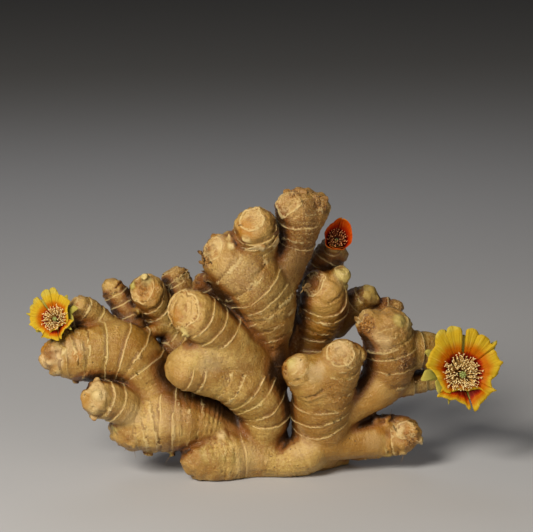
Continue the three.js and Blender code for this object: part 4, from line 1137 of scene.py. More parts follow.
# A petal is its whorl, how far its rim curls over in mm, how much further out its red reaches, and its
# rim from one side of the root round to the other: angle in degrees, radius and height in mm for a
# bloom of scale 1.
petals = {
    "open": [
        (0.2, 0, 0, [(87, 10.3, 11), (94, 15.5, 14), (95, 21.4, 16.5), (98, 23.3, 17), (105, 24.3, 17),
            (110, 24.5, 17), (113, 23.7, 16.6), (117, 21.5, 16)]),
        (0.9, 0, 0, [(109, 20, 15), (113, 23.1, 15.5), (116, 24.3, 16), (122, 25, 16.2),
            (127, 24.5, 16), (132, 22.3, 15.4), (138, 19.6, 15)]),
        (0.3, 0, 0, [(130, 18, 14.4), (134, 19.7, 14.6), (142, 20.1, 14.8), (150, 19.9, 15),
            (160, 19.6, 15), (168, 20, 14.6), (173, 18.4, 14)]),
        (0.6, 0.3, 0, [(168, 17.6, 14.2), (172, 18.2, 14.6), (176, 16, 15.2), (185, 14.3, 15.5),
            (201, 13.2, 15), (220, 13.1, 14), (236, 12.7, 12.5)]),
        # the red of these two petals reaches further out beneath the inner lip: partly their own red,
        # partly painted shade under the lip
        (0.1, 0, 0.26, [(216, 13, 12), (220, 15.4, 13), (221, 18, 13.5), (231, 15.9, 13.5),
            (243, 15.1, 13.2), (255, 14, 13), (266, 15.1, 12.8), (275, 15.9, 12.6), (280, 18.9, 12),
            (284, 17.6, 11.6), (284, 14.2, 10.5)]),
        (0.5, 0, 0.26, [(290, 13.9, 10.5), (288, 17.3, 12), (286, 19.8, 13), (291, 19.9, 13.6),
            (302, 17.7, 13.8), (314, 17.6, 13.5), (320, 17.6, 13)]),
        # the next three petals, on the viewer's right, are a little redder: painted shade, as the lamp
        # lights them more
        (0.2, 0, 0.03, [(312, 15.5, 12.4), (317, 17.4, 13), (325, 17.5, 14.5), (332, 18.9, 15.5),
            (333, 16, 15), (342, 14.8, 14.6), (353, 15.2, 14.6)]),
        (0.9, 0, 0.03, [(345, 14.6, 14), (350, 15.3, 14.5), (356, 16.7, 15.4), (365, 17.7, 16),
            (371, 18.8, 16.4), (376, 20.3, 16.8), (380, 19, 16.6), (386, 18.8, 16.4), (394, 19.3, 15.8),
            (399, 19, 15.4)]),
        (0.3, 0, 0.02, [(35, 18.4, 14.6), (39, 19.5, 15), (44, 22.5, 17), (47, 19.7, 16),
            (51, 20.5, 16.2), (56, 21, 16.5), (61, 21.2, 16.6), (67, 20.9, 16.2), (71, 19.4, 15.6)]),
        (0.8, 0, 0, [(64, 19, 15.4), (67, 20.4, 15.8), (73, 21.7, 16.6), (78, 22.4, 17), (84, 22.3, 17),
            (86.5, 22, 16.8), (86.5, 18.5, 15), (85, 13.9, 12.6), (84, 10.4, 11)]),
        (-0.9, 1, -0.1, [(222, 12.6, 11), (232, 12.2, 11.8), (239, 10.2, 12.2), (248, 8.5, 12.5),
            (260, 8, 12.6), (272, 8.2, 12.3), (287, 9.5, 11.6), (292, 10, 10.6)]),
        (-0.7, 1, -0.12, [(282, 9.6, 10.8), (288, 9.5, 11.8), (300, 9.3, 12.5), (312, 10.4, 12.8),
            (319, 13.7, 12.4), (322, 17, 12.6)]),
    ],
    "outer": [
        (1.6, 0, 0, [(80, 12.5, 11), (86, 17.6, 13.8), (90, 19, 14.2), (94, 17.6, 13.8),
            (95, 12.5, 11)]),
        (1.7, 0, 0, [(160, 15.5, 9), (153, 21, 10.6), (149, 22, 11.4), (144, 19.5, 11),
            (141, 15, 9.6)]),
        (1.8, 0, 0, [(172, 15, 9), (175, 18.3, 9.5), (182, 19.8, 10), (190, 21.3, 10.2),
            (192, 18.2, 9.8), (197, 13.5, 9)]),
        (1.6, 0, 0, [(192, 11.5, 9), (199, 14.3, 9.2), (210, 15.2, 9.6), (220, 16, 10),
            (224, 14.1, 9.6), (226, 11.5, 9)]),
        (1.8, 0, 0, [(236, 12, 9), (242, 15.2, 9.4), (247, 17.3, 10), (250, 14.7, 9.2), (254, 12, 9)]),
        (1.6, 0, 0, [(278, 11, 9), (283, 13.4, 9.6), (288, 14.4, 10), (292, 13.2, 9.6), (296, 11, 9)]),
        (1.7, 0, 0, [(369, 14, 9.4), (363, 18.2, 10.6), (358, 18.8, 10.8), (352, 16.6, 10),
            (348, 14, 9.4)]),
        (1.7, 0, 0, [(53, 15, 11), (48, 20, 13.2), (44, 23.3, 15), (39, 20.6, 13.4), (33, 15, 11)]),
    ],
    "cup": [
        (0.2, 0, 0, [(78.2, 6.2, 9), (79, 9.4, 12.8), (84, 9.4, 13), (93, 8.9, 13), (104, 8, 12.6),
            (113, 7.2, 12)]),
        (0.7, 0, 0, [(106, 7.4, 12), (118, 6.9, 12.4), (131, 6.8, 12.6), (146, 6.8, 12.4),
            (159, 6.8, 11.8)]),
        (0.2, 0, 0, [(150, 6.8, 11.4), (165, 7, 12), (180, 6.8, 12), (195, 6.9, 11.8), (206, 7.1, 11)]),
        (0.7, 0, 0, [(197, 6.9, 10.6), (212, 7.5, 11), (224, 8, 11), (238, 7.6, 10.8),
            (251, 7.2, 10.4)]),
        (0.1, 0, 0, [(243, 7.1, 10.2), (258, 7.3, 10.8), (270, 7.2, 10.8), (285, 7.1, 10.8),
            (297, 7, 10.4)]),
        (0.7, 0, 0, [(289, 7, 10.2), (305, 7.1, 10.8), (320, 7, 11), (336, 6.9, 11), (351, 6.9, 11)]),
        (0.2, 0, 0, [(342, 6.9, 11), (357, 7.1, 11.6), (374, 7.3, 12), (388, 7.7, 12.2),
            (399, 7.9, 12)]),
        (0.7, 0, 0, [(31, 7.7, 12), (44, 8.4, 12.6), (56, 9, 13), (66, 9.5, 13), (77, 9.4, 12.8),
            (77.6, 6.2, 9)]),
        (-0.6, 0.4, 0, [(222, 5.4, 8.4), (236, 5.7, 9.2), (255, 5.6, 9.6), (272, 5.5, 9.7),
            (290, 5.6, 9.5), (312, 5.6, 8.6)]),
    ],
}


# For each kind of bloom: the shares of the way out and up at a petal's two inner stops, and how far a
# frayed rim reaches out and up
kinds = {
    "open": {"out": (0.12, 0.6), "up": (0.5, 0.94), "fray": (1, 0.3)},
    "cup": {"out": (0.5, 0.95), "up": (0.25, 0.62), "fray": (0.3, 1)},
}
blade = {
    "rows": 13,  # of points from root to rim
    "step": 0.75,  # mm between points along the rim
    "thick": 0.34, "thinning": 0.16,  # mm, at the root and from there to the rim
    "fray": 0.011, "sway": 0.016, "longWave": 0.015, "shortWave": 0.008, "keel": 0.012,  # petal lengths
    "longWidth": 1.9, "shortWidth": 0.85,  # mm for each radian of a wave
}


def petalShape(bloom, petal, random, pointed):
    # Rows run from an arc of the throat to the rim. In radius and height each line between them is a
    # cubic with four stops: an open petal climbs first and then spreads, a cup's spreads first and then
    # climbs, and a curled rim passes over a crest. The turn round the axis goes over from root to rim.
    whorl, curl, redder, stations = petal
    kind, size, scale = kinds[bloom["kind"]], bloom["size"], bloom["scale"]
    listed = np.array(stations, float)
    turn = np.radians(listed[:, 0])
    reach, top = listed[:, 1:].T * scale
    rim, places = splineThrough(np.column_stack([reach * np.cos(turn), reach * np.sin(turn), top]),
                                blade["step"] * max(scale, 0.7))
    columns, rows = len(rim), blade["rows"]
    share = places / places[-1]
    rimTurn = np.unwrap(np.arctan2(rim[:, 1], rim[:, 0]))
    rimTurn += 2 * np.pi * round((turn.mean() - rimTurn.mean()) / (2 * np.pi))
    low, high = min(turn[0], turn[-1]), max(turn[0], turn[-1])
    middle, half = (low + high) / 2, (high - low) / 2 * (1.0 if not pointed else 0.6)
    rootTurn = middle + half * (2 * share - 1) * np.sign(turn[-1] - turn[0])
    steps = np.linspace(0, 1, rows)[:, None]
    rootRadius = bloom["throat"] * 0.9 + 0.45 * whorl * min(1, bloom["throat"] / 4)
    rootHeight = bloom["ovary"] + 0.7
    crest = np.sin(np.pi * share) * curl * scale
    climb, spread = rim[:, 2] - rootHeight, np.hypot(rim[:, 0], rim[:, 1]) - rootRadius
    (early, late), (first, second) = kind["out"], kind["up"]
    parts = [(1 - steps) ** 3, 3 * (1 - steps) ** 2 * steps, 3 * (1 - steps) * steps ** 2, steps ** 3]
    radius = (rootRadius + parts[1] * early * spread + parts[2] * (late * spread - 0.4 * crest)
              + parts[3] * (spread + 0.7 * crest))
    height = (rootHeight + parts[1] * first * climb + parts[2] * (second * climb + 1.9 * crest)
              + parts[3] * (climb - 0.5 * crest))
    # the last rows reach out or draw in, so the rim is frayed
    frayed = np.convolve(random.normal(0, blade["fray"] * size, columns + 2), (0.3, 0.5, 0.3), "valid")
    radius = radius + frayed * steps ** 9 * kind["fray"][0]
    height = height + frayed * steps ** 9 * kind["fray"][1]
    turned = rootTurn + (rimTurn - rootTurn) * (steps * (2 - steps)) ** 0.8
    # the blade sways to and fro and lifts in a long and a short wave that grow to the rim, over a keel
    wave = np.sin(share * places[-1] / (blade["longWidth"] * scale) + random.uniform(0, 6))
    sway = np.sin(share * random.uniform(5, 8) + random.uniform(0, 6))
    lift = blade["sway"] * size * steps ** 2 * sway
    lift = lift + blade["longWave"] * size * steps ** 3 * wave
    wave = np.sin(share * places[-1] / (blade["shortWidth"] * scale) + random.uniform(0, 6))
    lift = lift + blade["shortWave"] * size * steps ** 2 * wave
    lift = lift + blade["keel"] * size * (steps - steps ** 4) * (0.5 - np.abs(2 * share - 1))
    grid = np.stack([radius * np.cos(turned), radius * np.sin(turned), height], axis=-1)
    outward = unit(np.cross(np.gradient(grid, axis=1), np.gradient(grid, axis=0)))
    outward *= np.sign(np.einsum("ijk,ijk->", outward, grid * np.array([1, 1, 0])))
    thick = (blade["thick"] - blade["thinning"] * steps) * max(scale, 0.7) * np.ones_like(share)
    front = grid - outward * (lift + thick / 2)[..., None]
    back = grid - outward * (lift - thick / 2)[..., None]
    points = np.concatenate([front.reshape(-1, 3), back.reshape(-1, 3)])
    # how ripe a point's colour is: the way from the root over the petal's length, drawn on to the rim
    gone = np.cumsum(np.linalg.norm(np.diff(grid, axis=0), axis=2), axis=0)
    ripe = np.concatenate([np.zeros((1, columns)), gone]) / size
    ripe = ripe + (0.88 - ripe) * np.clip(steps, 0, 1) ** 6 * (ripe < 0.88) - redder * (1 - steps ** 3)
    side = np.repeat([0.0 if pointed else 1.0, 0.0], rows * columns)
    streak = share * np.ones_like(steps) * places[-1] / scale + random.uniform(0, 40)
    values = np.column_stack([np.tile(ripe.ravel(), 2), np.tile(streak.ravel(), 2), side])
    return points, facingOut(points - points.mean(axis=0), sheetFaces(rows, columns)), values


def turnedShape(profile, sides, lobes=0, depth=0.0):
    # a profile of (radius, height) turned round the axis; lobes swell its section in waves
    given = np.array(profile, float)
    turn = np.arange(sides) * 2 * np.pi / sides
    radius = given[:, :1] * (1 + depth * np.cos(lobes * turn)[None, :])
    points = np.stack([radius * np.cos(turn), radius * np.sin(turn),
                       np.repeat(given[:, 1:2], sides, axis=1)], axis=-1).reshape(-1, 3)
    share = np.repeat(np.linspace(0, 1, len(given)), sides)
    values = np.column_stack([share, np.tile(turn, len(given)), np.zeros(len(points))])
    return points, facingOut(points - points.mean(axis=0), tubeFaces(len(given), sides)), values


def washerShape(inner, outer, low, high, sides):
    # a ring with a four-cornered section
    turn = np.arange(sides) * 2 * np.pi / sides
    corners = np.array([(inner, low), (outer, low), (outer, high), (inner, high)])
    points = np.stack([corners[:, :1] * np.cos(turn), corners[:, :1] * np.sin(turn),
                       np.repeat(corners[:, 1:], sides, axis=1)], axis=-1).reshape(-1, 3)
    number = np.arange(4 * sides).reshape(4, sides)
    after = np.roll(number, -1, axis=1)
    faces = np.stack([number, after, np.roll(after, -1, axis=0), np.roll(number, -1, axis=0)], axis=-1)
    faces = faces.reshape(-1, 4)
    return points, facingOut(points, faces), np.zeros((len(points), 3))


def bloomPlace(name):
    # turns a bloom's own frame (viewer's right, up, axis) into the hand's; a lean bends it aside
    seat, facing, _ = seats[name]
    axis = unit(np.array(facing, float))
    right = unit(np.array([1.0, 0, 0]) - axis[0] * axis)
    up = np.cross(axis, right)
    start = np.array(seat) + 0.3 * axis
    bloom = blooms[name]

    def placed(points, lean):
        bent = points.copy()
        share = smoothStep(bloom["ovary"] * 0.8, bloom["ovary"] + 8 * bloom["scale"], points[:, 2])
        bent[:, :2] += share[:, None] * np.array(lean)
        return start + bent @ np.stack([right, up, axis])

    return placed


# Papery remains of leaves: the base's two ends on the skin and the tip in mm, and how dry it is
scales = [
    ((-11.5, -24.2, 119.6), (-2.2, -22.7, 117.8), (-1.4, -26.4, 123), 0.1),
    ((-11.5, -24.1, 120.4), (-6.1, -24.4, 119.2), (-11.5, -25, 120.9), 0.1),
    ((0.7, -22, 119.7), (4.2, -17.5, 118.8), (5.6, -21.8, 126.4), 0.25),
    ((2.2, -24.2, 126.6), (4.6, -20.5, 124.9), (5.9, -21, 129.2), 0.8),
    ((8, -9.5, 145.2), (12.5, -11.3, 146.6), (9.5, -11, 147.6), 0.45),
    ((11.6, -10.3, 146.4), (16.4, -13.2, 146.9), (14.7, -12.2, 148), 0.5),
    ((15.4, -13.2, 146.9), (19.8, -14, 145.6), (19, -11.4, 147.8), 0.55),
    ((25.3, -11.2, 143), (29.8, -10, 140.3), (29.9, -11.2, 143.9), 0.5),
    ((18.7, -3.2, 95.9), (22.8, 2.4, 95.7), (20.3, -2.1, 98.3), 0.2),
    ((17.2, -5, 93.3), (18.7, -3.1, 95.4), (18, -8.7, 97.8), 0.2),
    ((45.1, -9.8, 79), (47.4, -13.7, 81.5), (43.8, -12.4, 83.7), 0.3),
    ((47.4, -13.7, 81.5), (51.8, -13.8, 83.6), (49, -12.8, 85.2), 0.5),
    ((59.9, -16.1, 62.2), (62.8, -16.5, 62.8), (61.7, -17.6, 64.7), 0.3),
    ((-85.7, -25, 52.2), (-81.9, -23.4, 53.3), (-84.4, -22.4, 55.1), 0.3),
    ((-87.2, -27.7, 37.6), (-83.3, -27.5, 36.5), (-85.5, -28.5, 34.2), 0.3),
    ((-27.3, -14.7, 122.7), (-23.8, -18, 125.4), (-26.6, -17.2, 126.4), 0.6),
    ((-33, -16, 113), (-29.7, -18.5, 111.4), (-32.8, -19.5, 111.8), 0.5),
    ((-32.5, -15, 117.5), (-32, -17.5, 115.5), (-34, -17.5, 117.5), 0.5),
    ((-28.7, -20, 112.3), (-24.7, -24.5, 112.7), (-27, -22.5, 114.8), 0.4),
    ((-32, -12.5, 106.6), (-28.3, -18, 105.8), (-31.5, -17, 107.5), 0.9),
    ((32.3, -2, 96.2), (40, 5, 94.6), (36.3, 0.1, 97), 0.2),
    ((-57.2, 2.1, 77.2), (-53.6, 1.6, 76.3), (-58.7, 1.4, 78.9), 0.3),
    ((-75, 4.7, 78.7), (-70.8, 3.4, 77.4), (-73.6, 3.5, 80.5), 0.8),
    ((-35, -9.6, 98.9), (-31, -11.6, 97.8), (-34.5, -10.6, 101), 0.9),
    ((-41.7, 11.3, 95.8), (-38.8, 12.9, 93.9), (-40.2, 12.6, 97.4), 0.6),
    ((64.3, -6.9, 26.5), (65.3, -8.9, 23.4), (63.2, -8.9, 25.3), 0.3),
    ((75.5, -7.6, 17.8), (78.2, -4.5, 14.5), (78.6, -8, 17), 0.1),
    ((43.7, -23.2, 58.4), (45, -18.1, 54.5), (46, -19.3, 56.7), 0.4),
]
shreds = {
    "count": 84,
    "width": (1.2, 3.0), "height": (0.5, 1.3),  # mm, along a leaf scar and away from it
    "thick": 0.16,  # mm, of the scales too
}


def flapShape(left, right, tip, outward, dryness, random):
    # a flap: its midline bows from the middle of its base to its tip, its half width falls with the
    # square root of the way left, its foot is sunk in the skin and its rim is ragged
    rows, columns = 6, 7
    across = np.linspace(-1, 1, columns)[None, :, None]
    ragged = random.normal(0, 0.08, (1, columns, 1))
    along = np.linspace(0, 1, rows)[:, None, None] * (1 - 0.2 * across ** 2 + ragged)
    along = np.clip(along, 0, 1)
    middle, half = (left + right) / 2, (right - left) / 2
    width = 0.1 + 0.9 * np.sqrt(1 - along)
    bow = 0.16 * np.linalg.norm(tip - middle) * np.sin(np.pi * along) - 0.6 * (1 - along) ** 2
    front = middle + (tip - middle) * along + half * across * width
    front = front + outward * (bow - 0.12 * np.abs(across))
    front = front + random.normal(0, 0.04, front.shape)
    points = np.concatenate([front.reshape(-1, 3), (front - outward * shreds["thick"]).reshape(-1, 3)])
    side = np.broadcast_to(across * np.linalg.norm(half), (rows, columns, 1))
    values = np.column_stack([np.tile(along.ravel(), 2), np.tile(side.ravel(), 2),
                              np.full(2 * rows * columns, dryness)])
    return points, facingOut(points - points.mean(axis=0), sheetFaces(rows, columns)), values


def makeScales(skin, material):
    # the placed scales, then small shreds that stand on leaf scars and lean to the finger's tip
    random = np.random.default_rng(seeds["shreds"])
    shapes = []
    for left, right, tip, dryness in scales:
        left, right, tip = (np.array(spot, float) for spot in (left, right, tip))
        near = np.linalg.norm(skin["points"] - (left + right) / 2, axis=1).argmin()
        shapes.append(flapShape(left, right, tip, skin["normal"][near], dryness, random))
    onScar = np.nonzero((np.abs(skin["scar"][:, 0]) < 0.35) & (skin["scar"][:, 1] > 0.6)
                        & (skin["points"][:, 2] > 4) & (skin["normal"][:, 1] < 0.3))[0]
    for number in random.choice(onScar, shreds["count"], replace=False):
        spot, outward, ahead = (skin[name][number] for name in ("points", "normal", "way"))
        side = unit(np.cross(outward, ahead)) * random.uniform(*shreds["width"]) / 2
        tip = spot + (ahead + outward * random.uniform(0.1, 0.6)) * random.uniform(*shreds["height"])
        dryness = random.uniform(0.1, 0.5)
        shapes.append(flapShape(spot - side, spot + side, tip, outward, dryness, random))
    points, faces, values = joinShapes(shapes)
    piece = makePiece("leaf_scales", points, faces, material)
    addAttribute(piece, "leaf", values)


hairs = {"count": 34, "length": (1.2, 3.2), "radius": 0.1}  # mm, rootlets at the tips and buds


def makeHairs(skin, material):
    # a rootlet leaves the skin along its normal and bends down and aside with the square of its length
    random = np.random.default_rng(seeds["hairs"])
    count = hairs["count"]
    roots = np.array([place for place, *_ in buds] + [place for place, *_ in corks])
    roots = roots[random.integers(0, len(roots), count)] + random.normal(0, 2.2, (count, 3))
    near = np.array([np.linalg.norm(skin["points"] - root, axis=1).argmin() for root in roots])
    start, outward = skin["points"][near], skin["normal"][near]
    length = random.uniform(*hairs["length"], count)[:, None, None]
    steps = np.linspace(0, 1, 7)[None, :, None]
    aside = random.normal(size=(count, 1, 3)) * 0.5 + np.array([0, 0, -0.3])
    bent = outward[:, None] * steps + aside * steps ** 2
    paths = start[:, None] - 0.3 * outward[:, None] + length * bent
    paths[:, :, 2] = np.maximum(paths[:, :, 2], 0.15)
    share = steps[:, :, 0]
    radii = np.repeat(hairs["radius"] * (1.15 - 0.8 * share), count, axis=0)
    values = np.repeat(np.stack([share, share * 0, share * 0 + 0.5], axis=-1), count, axis=0)
    points, faces, values = makeTubes(paths, radii, 4, values)
    piece = makePiece("rootlets", points, faces, material)
    addAttribute(piece, "leaf", values)


stamen = {
    "stalk": (0.24, 0.2, 0.17, 0.15, 0.14, 0.12),  # mm, its radius from root to anther
    "places": (-1.0, -0.72, 0, 0.72, 1.0),  # along an anther, in parts of its half length
    "girths": (0.25, 0.8, 1.0, 0.8, 0.25),  # there, in parts of its widest
    "long": 1.45, "wide": 0.62,  # an anther's half length and radius, in sizes of its bloom's
}


def makeStamens(bloom, random):
    # stamens stand in a spiral, each a golden angle on from the last; a filament leans out in a bow
    # from its root circle to its own reach, and an anther lies across its end
    count = bloom["stamens"]
    share = (np.arange(count) + 0.5) / count
    turn = np.arange(count) * np.pi * (3 - np.sqrt(5)) + random.normal(0, 0.12, count)
    outer = bloom["throat"] - 0.65
    low = bloom["ovary"] + 2.2
    folded = np.cos(turn - np.radians(bloom["roll"] - 90))
    spread = bloom["spread"] * (1 - 0.24 * np.maximum(0, folded) ** 3)
    root = 1.9 + (outer - 2.5) * share
    reach = bloom["stigma"] + 0.4 + (spread - bloom["stigma"] - 0.4) * share ** 0.57
    reach *= random.uniform(0.88, 1.08, count)
    top = bloom["stamenLength"] * (1 - 0.2 * share) * random.uniform(0.82, 1.1, count)
    rows = len(stamen["stalk"])
    steps = np.linspace(0, 1, rows)[None, :]
    radius = root[:, None] + (reach - root)[:, None] * steps ** 1.5
    swing = turn[:, None] + random.normal(0, 0.1, count)[:, None] * steps
    path = np.stack([radius * np.cos(swing), radius * np.sin(swing),
                     low + 0.4 + (top[:, None] - 0.4) * steps], axis=-1)
    values = np.stack([np.repeat(steps * 0.6, count, axis=0), np.repeat(share[:, None], rows, axis=1),
                       np.repeat(random.uniform(0, 1, (count, 1)), rows, axis=1)], axis=-1)
    stalks = makeTubes(path, np.repeat([stamen["stalk"]], count, axis=0), 4, values)
    size = bloom["anther"]
    lay = unit(random.normal(size=(count, 3)) * np.array([1, 1, 0.5]))
    along = np.array(stamen["places"])
    heads = path[:, -1][:, None, :] + lay[:, None, :] * (along[None, :, None] * size * stamen["long"])
    girth = np.array(stamen["girths"]) * size * stamen["wide"]
    values = np.concatenate([np.ones((count, 5, 1)), np.repeat(share[:, None, None], 5, axis=1),
                             np.repeat(random.uniform(0, 1, (count, 1, 1)), 5, axis=1)], axis=-1)
    girth = np.repeat(girth[None, :], count, axis=0) * random.uniform(0.8, 1.2, (count, 1))
    anthers = makeTubes(heads, girth, 6, values)
    return joinShapes([stalks, anthers, washerShape(1.3, outer, low - 0.3, low + 0.7, 24)])


pistil = {
    "ribs": 8, "ribDepth": 0.035,  # of the ovary, in parts of its radius
    "lobes": 7,  # of the stigma
    "lobeGirth": (0.5, 0.55, 0.6, 0.58, 0.46, 0.2),  # from root to tip
}


def makePistil(bloom):
    # a ribbed ovary and a style turned from one profile, seven lobes that rise and bow outwards round
    # the axis, and a core between them
    throat, ovary = bloom["throat"], bloom["ovary"]
    head, stigma = ovary + bloom["styleLength"], bloom["stigma"]
    profile = [(throat * 0.3, 0.02), (throat * 0.62, 0), (throat * 0.82, ovary * 0.2),
               (throat * 0.94, ovary * 0.45), (throat * 0.92, ovary * 0.75), (throat * 0.8, ovary),
               (0.85, ovary + 0.02), (0.75, ovary + 1), (0.7, head), (0.3, head + 0.1)]
    body = turnedShape(profile, 32, pistil["ribs"], pistil["ribDepth"])
    lobes, rows = pistil["lobes"], len(pistil["lobeGirth"])
    turn = np.arange(lobes) * 2 * np.pi / lobes
    steps = np.linspace(0, 1, rows)[None, :]
    bow = np.sin(steps * np.pi * 0.62)
    radius = stigma * (0.12 + 0.88 * bow)
    path = np.stack([radius * np.cos(turn)[:, None], radius * np.sin(turn)[:, None],
                     head - 0.2 + 2.0 * (stigma / 1.7) * steps * np.ones((lobes, 1))], axis=-1)
    path[:, :, :2] *= (1 - 0.45 * smoothStep(0.5, 1, steps))[..., None]
    ones = np.ones((lobes, rows))
    values = np.stack([ones, np.repeat(steps, lobes, axis=0), ones], axis=-1)
    girth = np.array([pistil["lobeGirth"]]) * stigma * 0.72
    crown = makeTubes(path, np.repeat(girth, lobes, axis=0), 8, values)
    core = turnedShape([(0.05, head - 0.2), (stigma * 0.5, head), (stigma * 0.62, head + stigma * 0.6),
                        (stigma * 0.3, head + stigma * 1.05), (0.05, head + stigma * 1.1)], 16)
    return joinShapes([body, crown, (core[0], core[1], np.ones_like(core[2]))])


petalLooks = {
    "yellow": {
        "throat": "#640a02", "flame": "#9e2802", "orange": "#b66000", "blade": "#c09e20",
        "rim": "#b6a23c", "root": "#7f7c34", "behind": "#b0a24a", "vein": "#9c5600",
        "light": "#dec458", "veinGap": 1.1, "cloudSize": 5},  # mm
    "red": {
        "throat": "#300402", "flame": "#780a02", "orange": "#a82904", "blade": "#c44c06",
        "rim": "#ea9428", "root": "#6a4a1c", "behind": "#a5581a", "vein": "#6a0e04",
        "light": "#e07c28", "veinGap": 1.1, "cloudSize": 5},
}


def makePetalSkin(name):
    # cactus-like petal, thin and waxy: dark red at the throat, then orange, then yellow to a paler rim
    look = petalLooks[name]
    material, add, place = newMaterial(name + "_petal")
    leaf = add("Attribute", give="Vector", attribute_name="leaf")
    ripe, across, inner = add("SeparateXYZ", (leaf,), None)
    lines = add("CombineXYZ", (across, add("Math", (ripe, 3.0), **times), 0.3))
    streak = add("TexNoise", {"Vector": lines, "Scale": 1 / look["veinGap"], "Detail": 3.0,
                              "Roughness": 0.6})
    cloud = add("TexNoise", {"Vector": place, "Scale": 1 / (look["cloudSize"] * mm), "Detail": 2.0})
    reach = add("Math", (ripe, add("MapRange", (streak, 0.0, 1.0, -0.09, 0.09))), **plus)
    reach = add("Math", (reach, add("MapRange", (cloud, 0.0, 1.0, -0.06, 0.06))), **plus)
    front = add("ValToRGB", (reach,), stops=[
        (0.0, look["throat"]), (0.26, look["throat"]), (0.37, look["flame"]), (0.45, look["orange"]),
        (0.54, look["orange"]), (0.74, look["blade"]), (0.92, look["blade"]), (1.0, look["rim"])])
    share = add("MapRange", (streak, 0.52, 0.72, 0.0, 0.4), **eased)
    front = add("Mix", {0: share, 6: front, 7: colour(look["vein"])}, **tinted)
    share = add("Math", (add("MapRange", (streak, 0.46, 0.28, 0.0, 0.45), **eased),
                         add("MapRange", (reach, 0.4, 0.7), **eased)), **times)
    front = add("Mix", {0: share, 6: front, 7: colour(look["light"])}, **tinted)
    share = add("MapRange", (reach, 0.3, 0.95, 0.0, 1.0), **eased)
    back = add("Mix", {0: share, 6: colour(look["root"]), 7: colour(look["behind"])}, **tinted)
    skin = add("Mix", {0: inner, 6: back, 7: front}, **tinted)
    return finishMaterial(material, {"Base Color": skin, "Roughness": 0.5, "Specular IOR Level": 0.08},
                          streak, 1.0, 0.4)


stamenLooks = {
    "cream": {"root": "#8a3a0e", "stalk": "#dcb466", "anther": "#fcecb8", "dust": "#f0d088"},
    "dusky": {"root": "#3c0a02", "stalk": "#8a3e12", "anther": "#ffc284", "dust": "#e09a54"},
    "grainSize": 0.5,  # mm, heaps of pollen, as single grains are too fine to show
}


def makeStamenSkin(name):
    # stamens: thin shining filaments, darker at the root, and anthers full of powdery pollen
    look = stamenLooks[name]
    material, add, place = newMaterial(name + "_stamens")
    leaf = add("Attribute", give="Vector", attribute_name="leaf")
    along, _, chance = add("SeparateXYZ", (leaf,), None)
    grains = add("TexNoise", {"Vector": place, "Scale": 1 / (stamenLooks["grainSize"] * mm),
                              "Detail": 2.0})
    stalk = add("MapRange", (along, 0.0, 0.5), **eased)
    stalk = add("Mix", {0: stalk, 6: colour(look["root"]), 7: colour(look["stalk"])}, **tinted)
    head = add("MapRange", (grains, 0.35, 0.65), **eased)
    head = add("Mix", {0: head, 6: colour(look["anther"]), 7: colour(look["dust"])}, **tinted)
    skin = add("Mix", {0: add("MapRange", (along, 0.7, 0.9)), 6: stalk, 7: head}, **tinted)
    share = add("MapRange", (chance, 0.6, 1.0, 0.0, 0.25))
    skin = add("Mix", {0: share, 6: skin, 7: colour(look["stalk"])}, **tinted)
    return finishMaterial(material, {"Base Color": skin, "Roughness": 0.6}, grains, 0.6, 0.15)


pistilLooks = {
    "pale": {"body": "#6f7c30", "cloud": "#8a8d3c", "lobe": "#76843a", "velvet": "#a0a562"},
    "dark": {"body": "#4c5a22", "cloud": "#6a6a2c", "lobe": "#3c4a18", "velvet": "#5c6a2c"},
    "velvetSize": 0.45, "cloudSize": 2.2,  # mm
}


def makePistilSkin(name):
    # pistil: green ovary with a waxy bloom, pale style, and a velvety green stigma
    look = pistilLooks[name]
    material, add, place = newMaterial(name + "_green_pistil")
    lobed = add("SeparateXYZ", (add("Attribute", give="Vector", attribute_name="leaf"),), give=2)
    velvet, cloud = (add("TexNoise", {"Vector": place, "Scale": 1 / (pistilLooks[size] * mm),
                                      "Detail": 3.0}) for size in ("velvetSize", "cloudSize"))
    share = add("MapRange", (cloud, 0.35, 0.65), **eased)
    green = add("Mix", {0: share, 6: colour(look["body"]), 7: colour(look["cloud"])}, **tinted)
    share = add("MapRange", (velvet, 0.35, 0.65), **eased)
    tip = add("Mix", {0: share, 6: colour(look["lobe"]), 7: colour(look["velvet"])}, **tinted)
    skin = add("Mix", {0: lobed, 6: green, 7: tip}, **tinted)
    return finishMaterial(material, {"Base Color": skin, "Roughness": 0.6}, velvet, 0.6, 0.15)


scaleSkin = {
    "pale": "#d9c48f", "tan": "#a97f43", "dry": "#5a3717",
    "fibreWidth": 0.35, "cloudSize": 2.5,  # mm
}


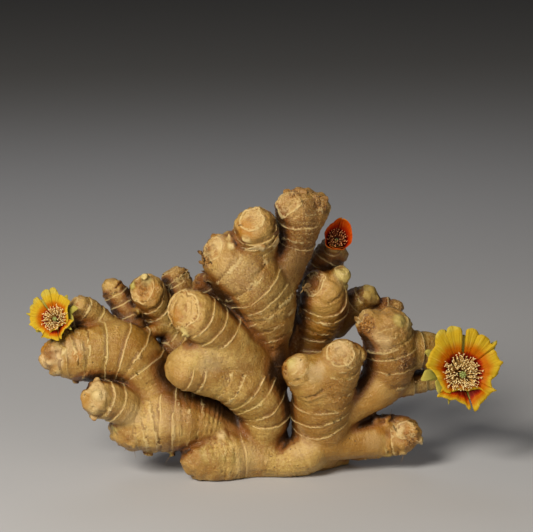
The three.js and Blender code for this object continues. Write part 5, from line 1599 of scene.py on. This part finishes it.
def makeScaleSkin():
    # dry papery leaf scale: thin and matt, brown where it is old, with fibres from base to tip
    look = scaleSkin
    material, add, place = newMaterial("dry_papery_leaf_scale")
    leaf = add("Attribute", give="Vector", attribute_name="leaf")
    along, across, dryness = add("SeparateXYZ", (leaf,), None)
    lines = add("CombineXYZ", (across, add("Math", (along, 0.6), **times), dryness))
    fibre = add("TexNoise", {"Vector": lines, "Scale": 1 / look["fibreWidth"], "Detail": 2.0})
    cloud = add("TexNoise", {"Vector": place, "Scale": 1 / (look["cloudSize"] * mm), "Detail": 3.0})
    old = add("Math", (dryness, add("MapRange", (cloud, 0.3, 0.7, -0.25, 0.25))), **plus)
    old = add("Math", (old, add("Math", (along, 0.25), **times)), **plus)
    skin = add("ValToRGB", (old,), stops=[(0.1, look["pale"]), (0.5, look["tan"]), (1.0, look["dry"])])
    share = add("MapRange", (fibre, 0.45, 0.7, 0.0, 0.4))
    skin = add("Mix", {0: share, 6: skin, 7: colour(look["dry"])}, **tinted)
    return finishMaterial(material, {"Base Color": skin, "Roughness": 0.6}, fibre, 0.5, 0.15)


def makeBloom(name, skins):
    # the cup's ring and the petals, the stamens and the pistil, each put on the bloom's seat
    bloom = blooms[name]
    random = np.random.default_rng(seeds[name])
    placed = bloomPlace(name)
    base, scale = bloom["ovary"] + 0.3, bloom["scale"]
    shapes = [washerShape(1.3, bloom["throat"] + 1.0 * scale, base, base + 1.3 * scale, 32)]
    listed = petals["cup"] if bloom["kind"] == "cup" else petals["open"] + petals["outer"]
    for number, (whorl, curl, redder, stations) in enumerate(listed):
        stations = [(180 - turn if bloom["mirrored"] else turn, *rest) for turn, *rest in stations]
        stations = [(turn + bloom["roll"], *rest) for turn, *rest in stations]
        pointed = bloom["kind"] == "open" and number >= len(petals["open"])
        shapes.append(petalShape(bloom, (whorl, curl, redder, stations), random, pointed))
    parts = {"petals": joinShapes(shapes), "stamens": makeStamens(bloom, random),
             "pistil": makePistil(bloom)}
    for part, (points, faces, values) in parts.items():
        points = placed(points, bloom["lean" if part == "petals" else "coreLean"])
        piece = makePiece(name + "_" + part, points, faces, skins[part])
        addAttribute(piece, "leaf", values)
        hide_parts(name + "_bloom_" + part)


makeCamera()
makeStudio()
bpy.context.scene.view_settings.view_transform = "Standard"
print("camera, floor and light are set")
skin = makeHand(makeGingerSkin())
print("hand done")
paper = makeScaleSkin()
makeScales(skin, paper)
makeHairs(skin, paper)
print("scales and rootlets done")
yellowBloom = {"petals": makePetalSkin("yellow"), "stamens": makeStamenSkin("cream"),
               "pistil": makePistilSkin("pale")}
redBloom = {"petals": makePetalSkin("red"), "stamens": makeStamenSkin("dusky"),
            "pistil": makePistilSkin("dark")}
for name in blooms:
    makeBloom(name, redBloom if name == "top" else yellowBloom)
print("blooms done")
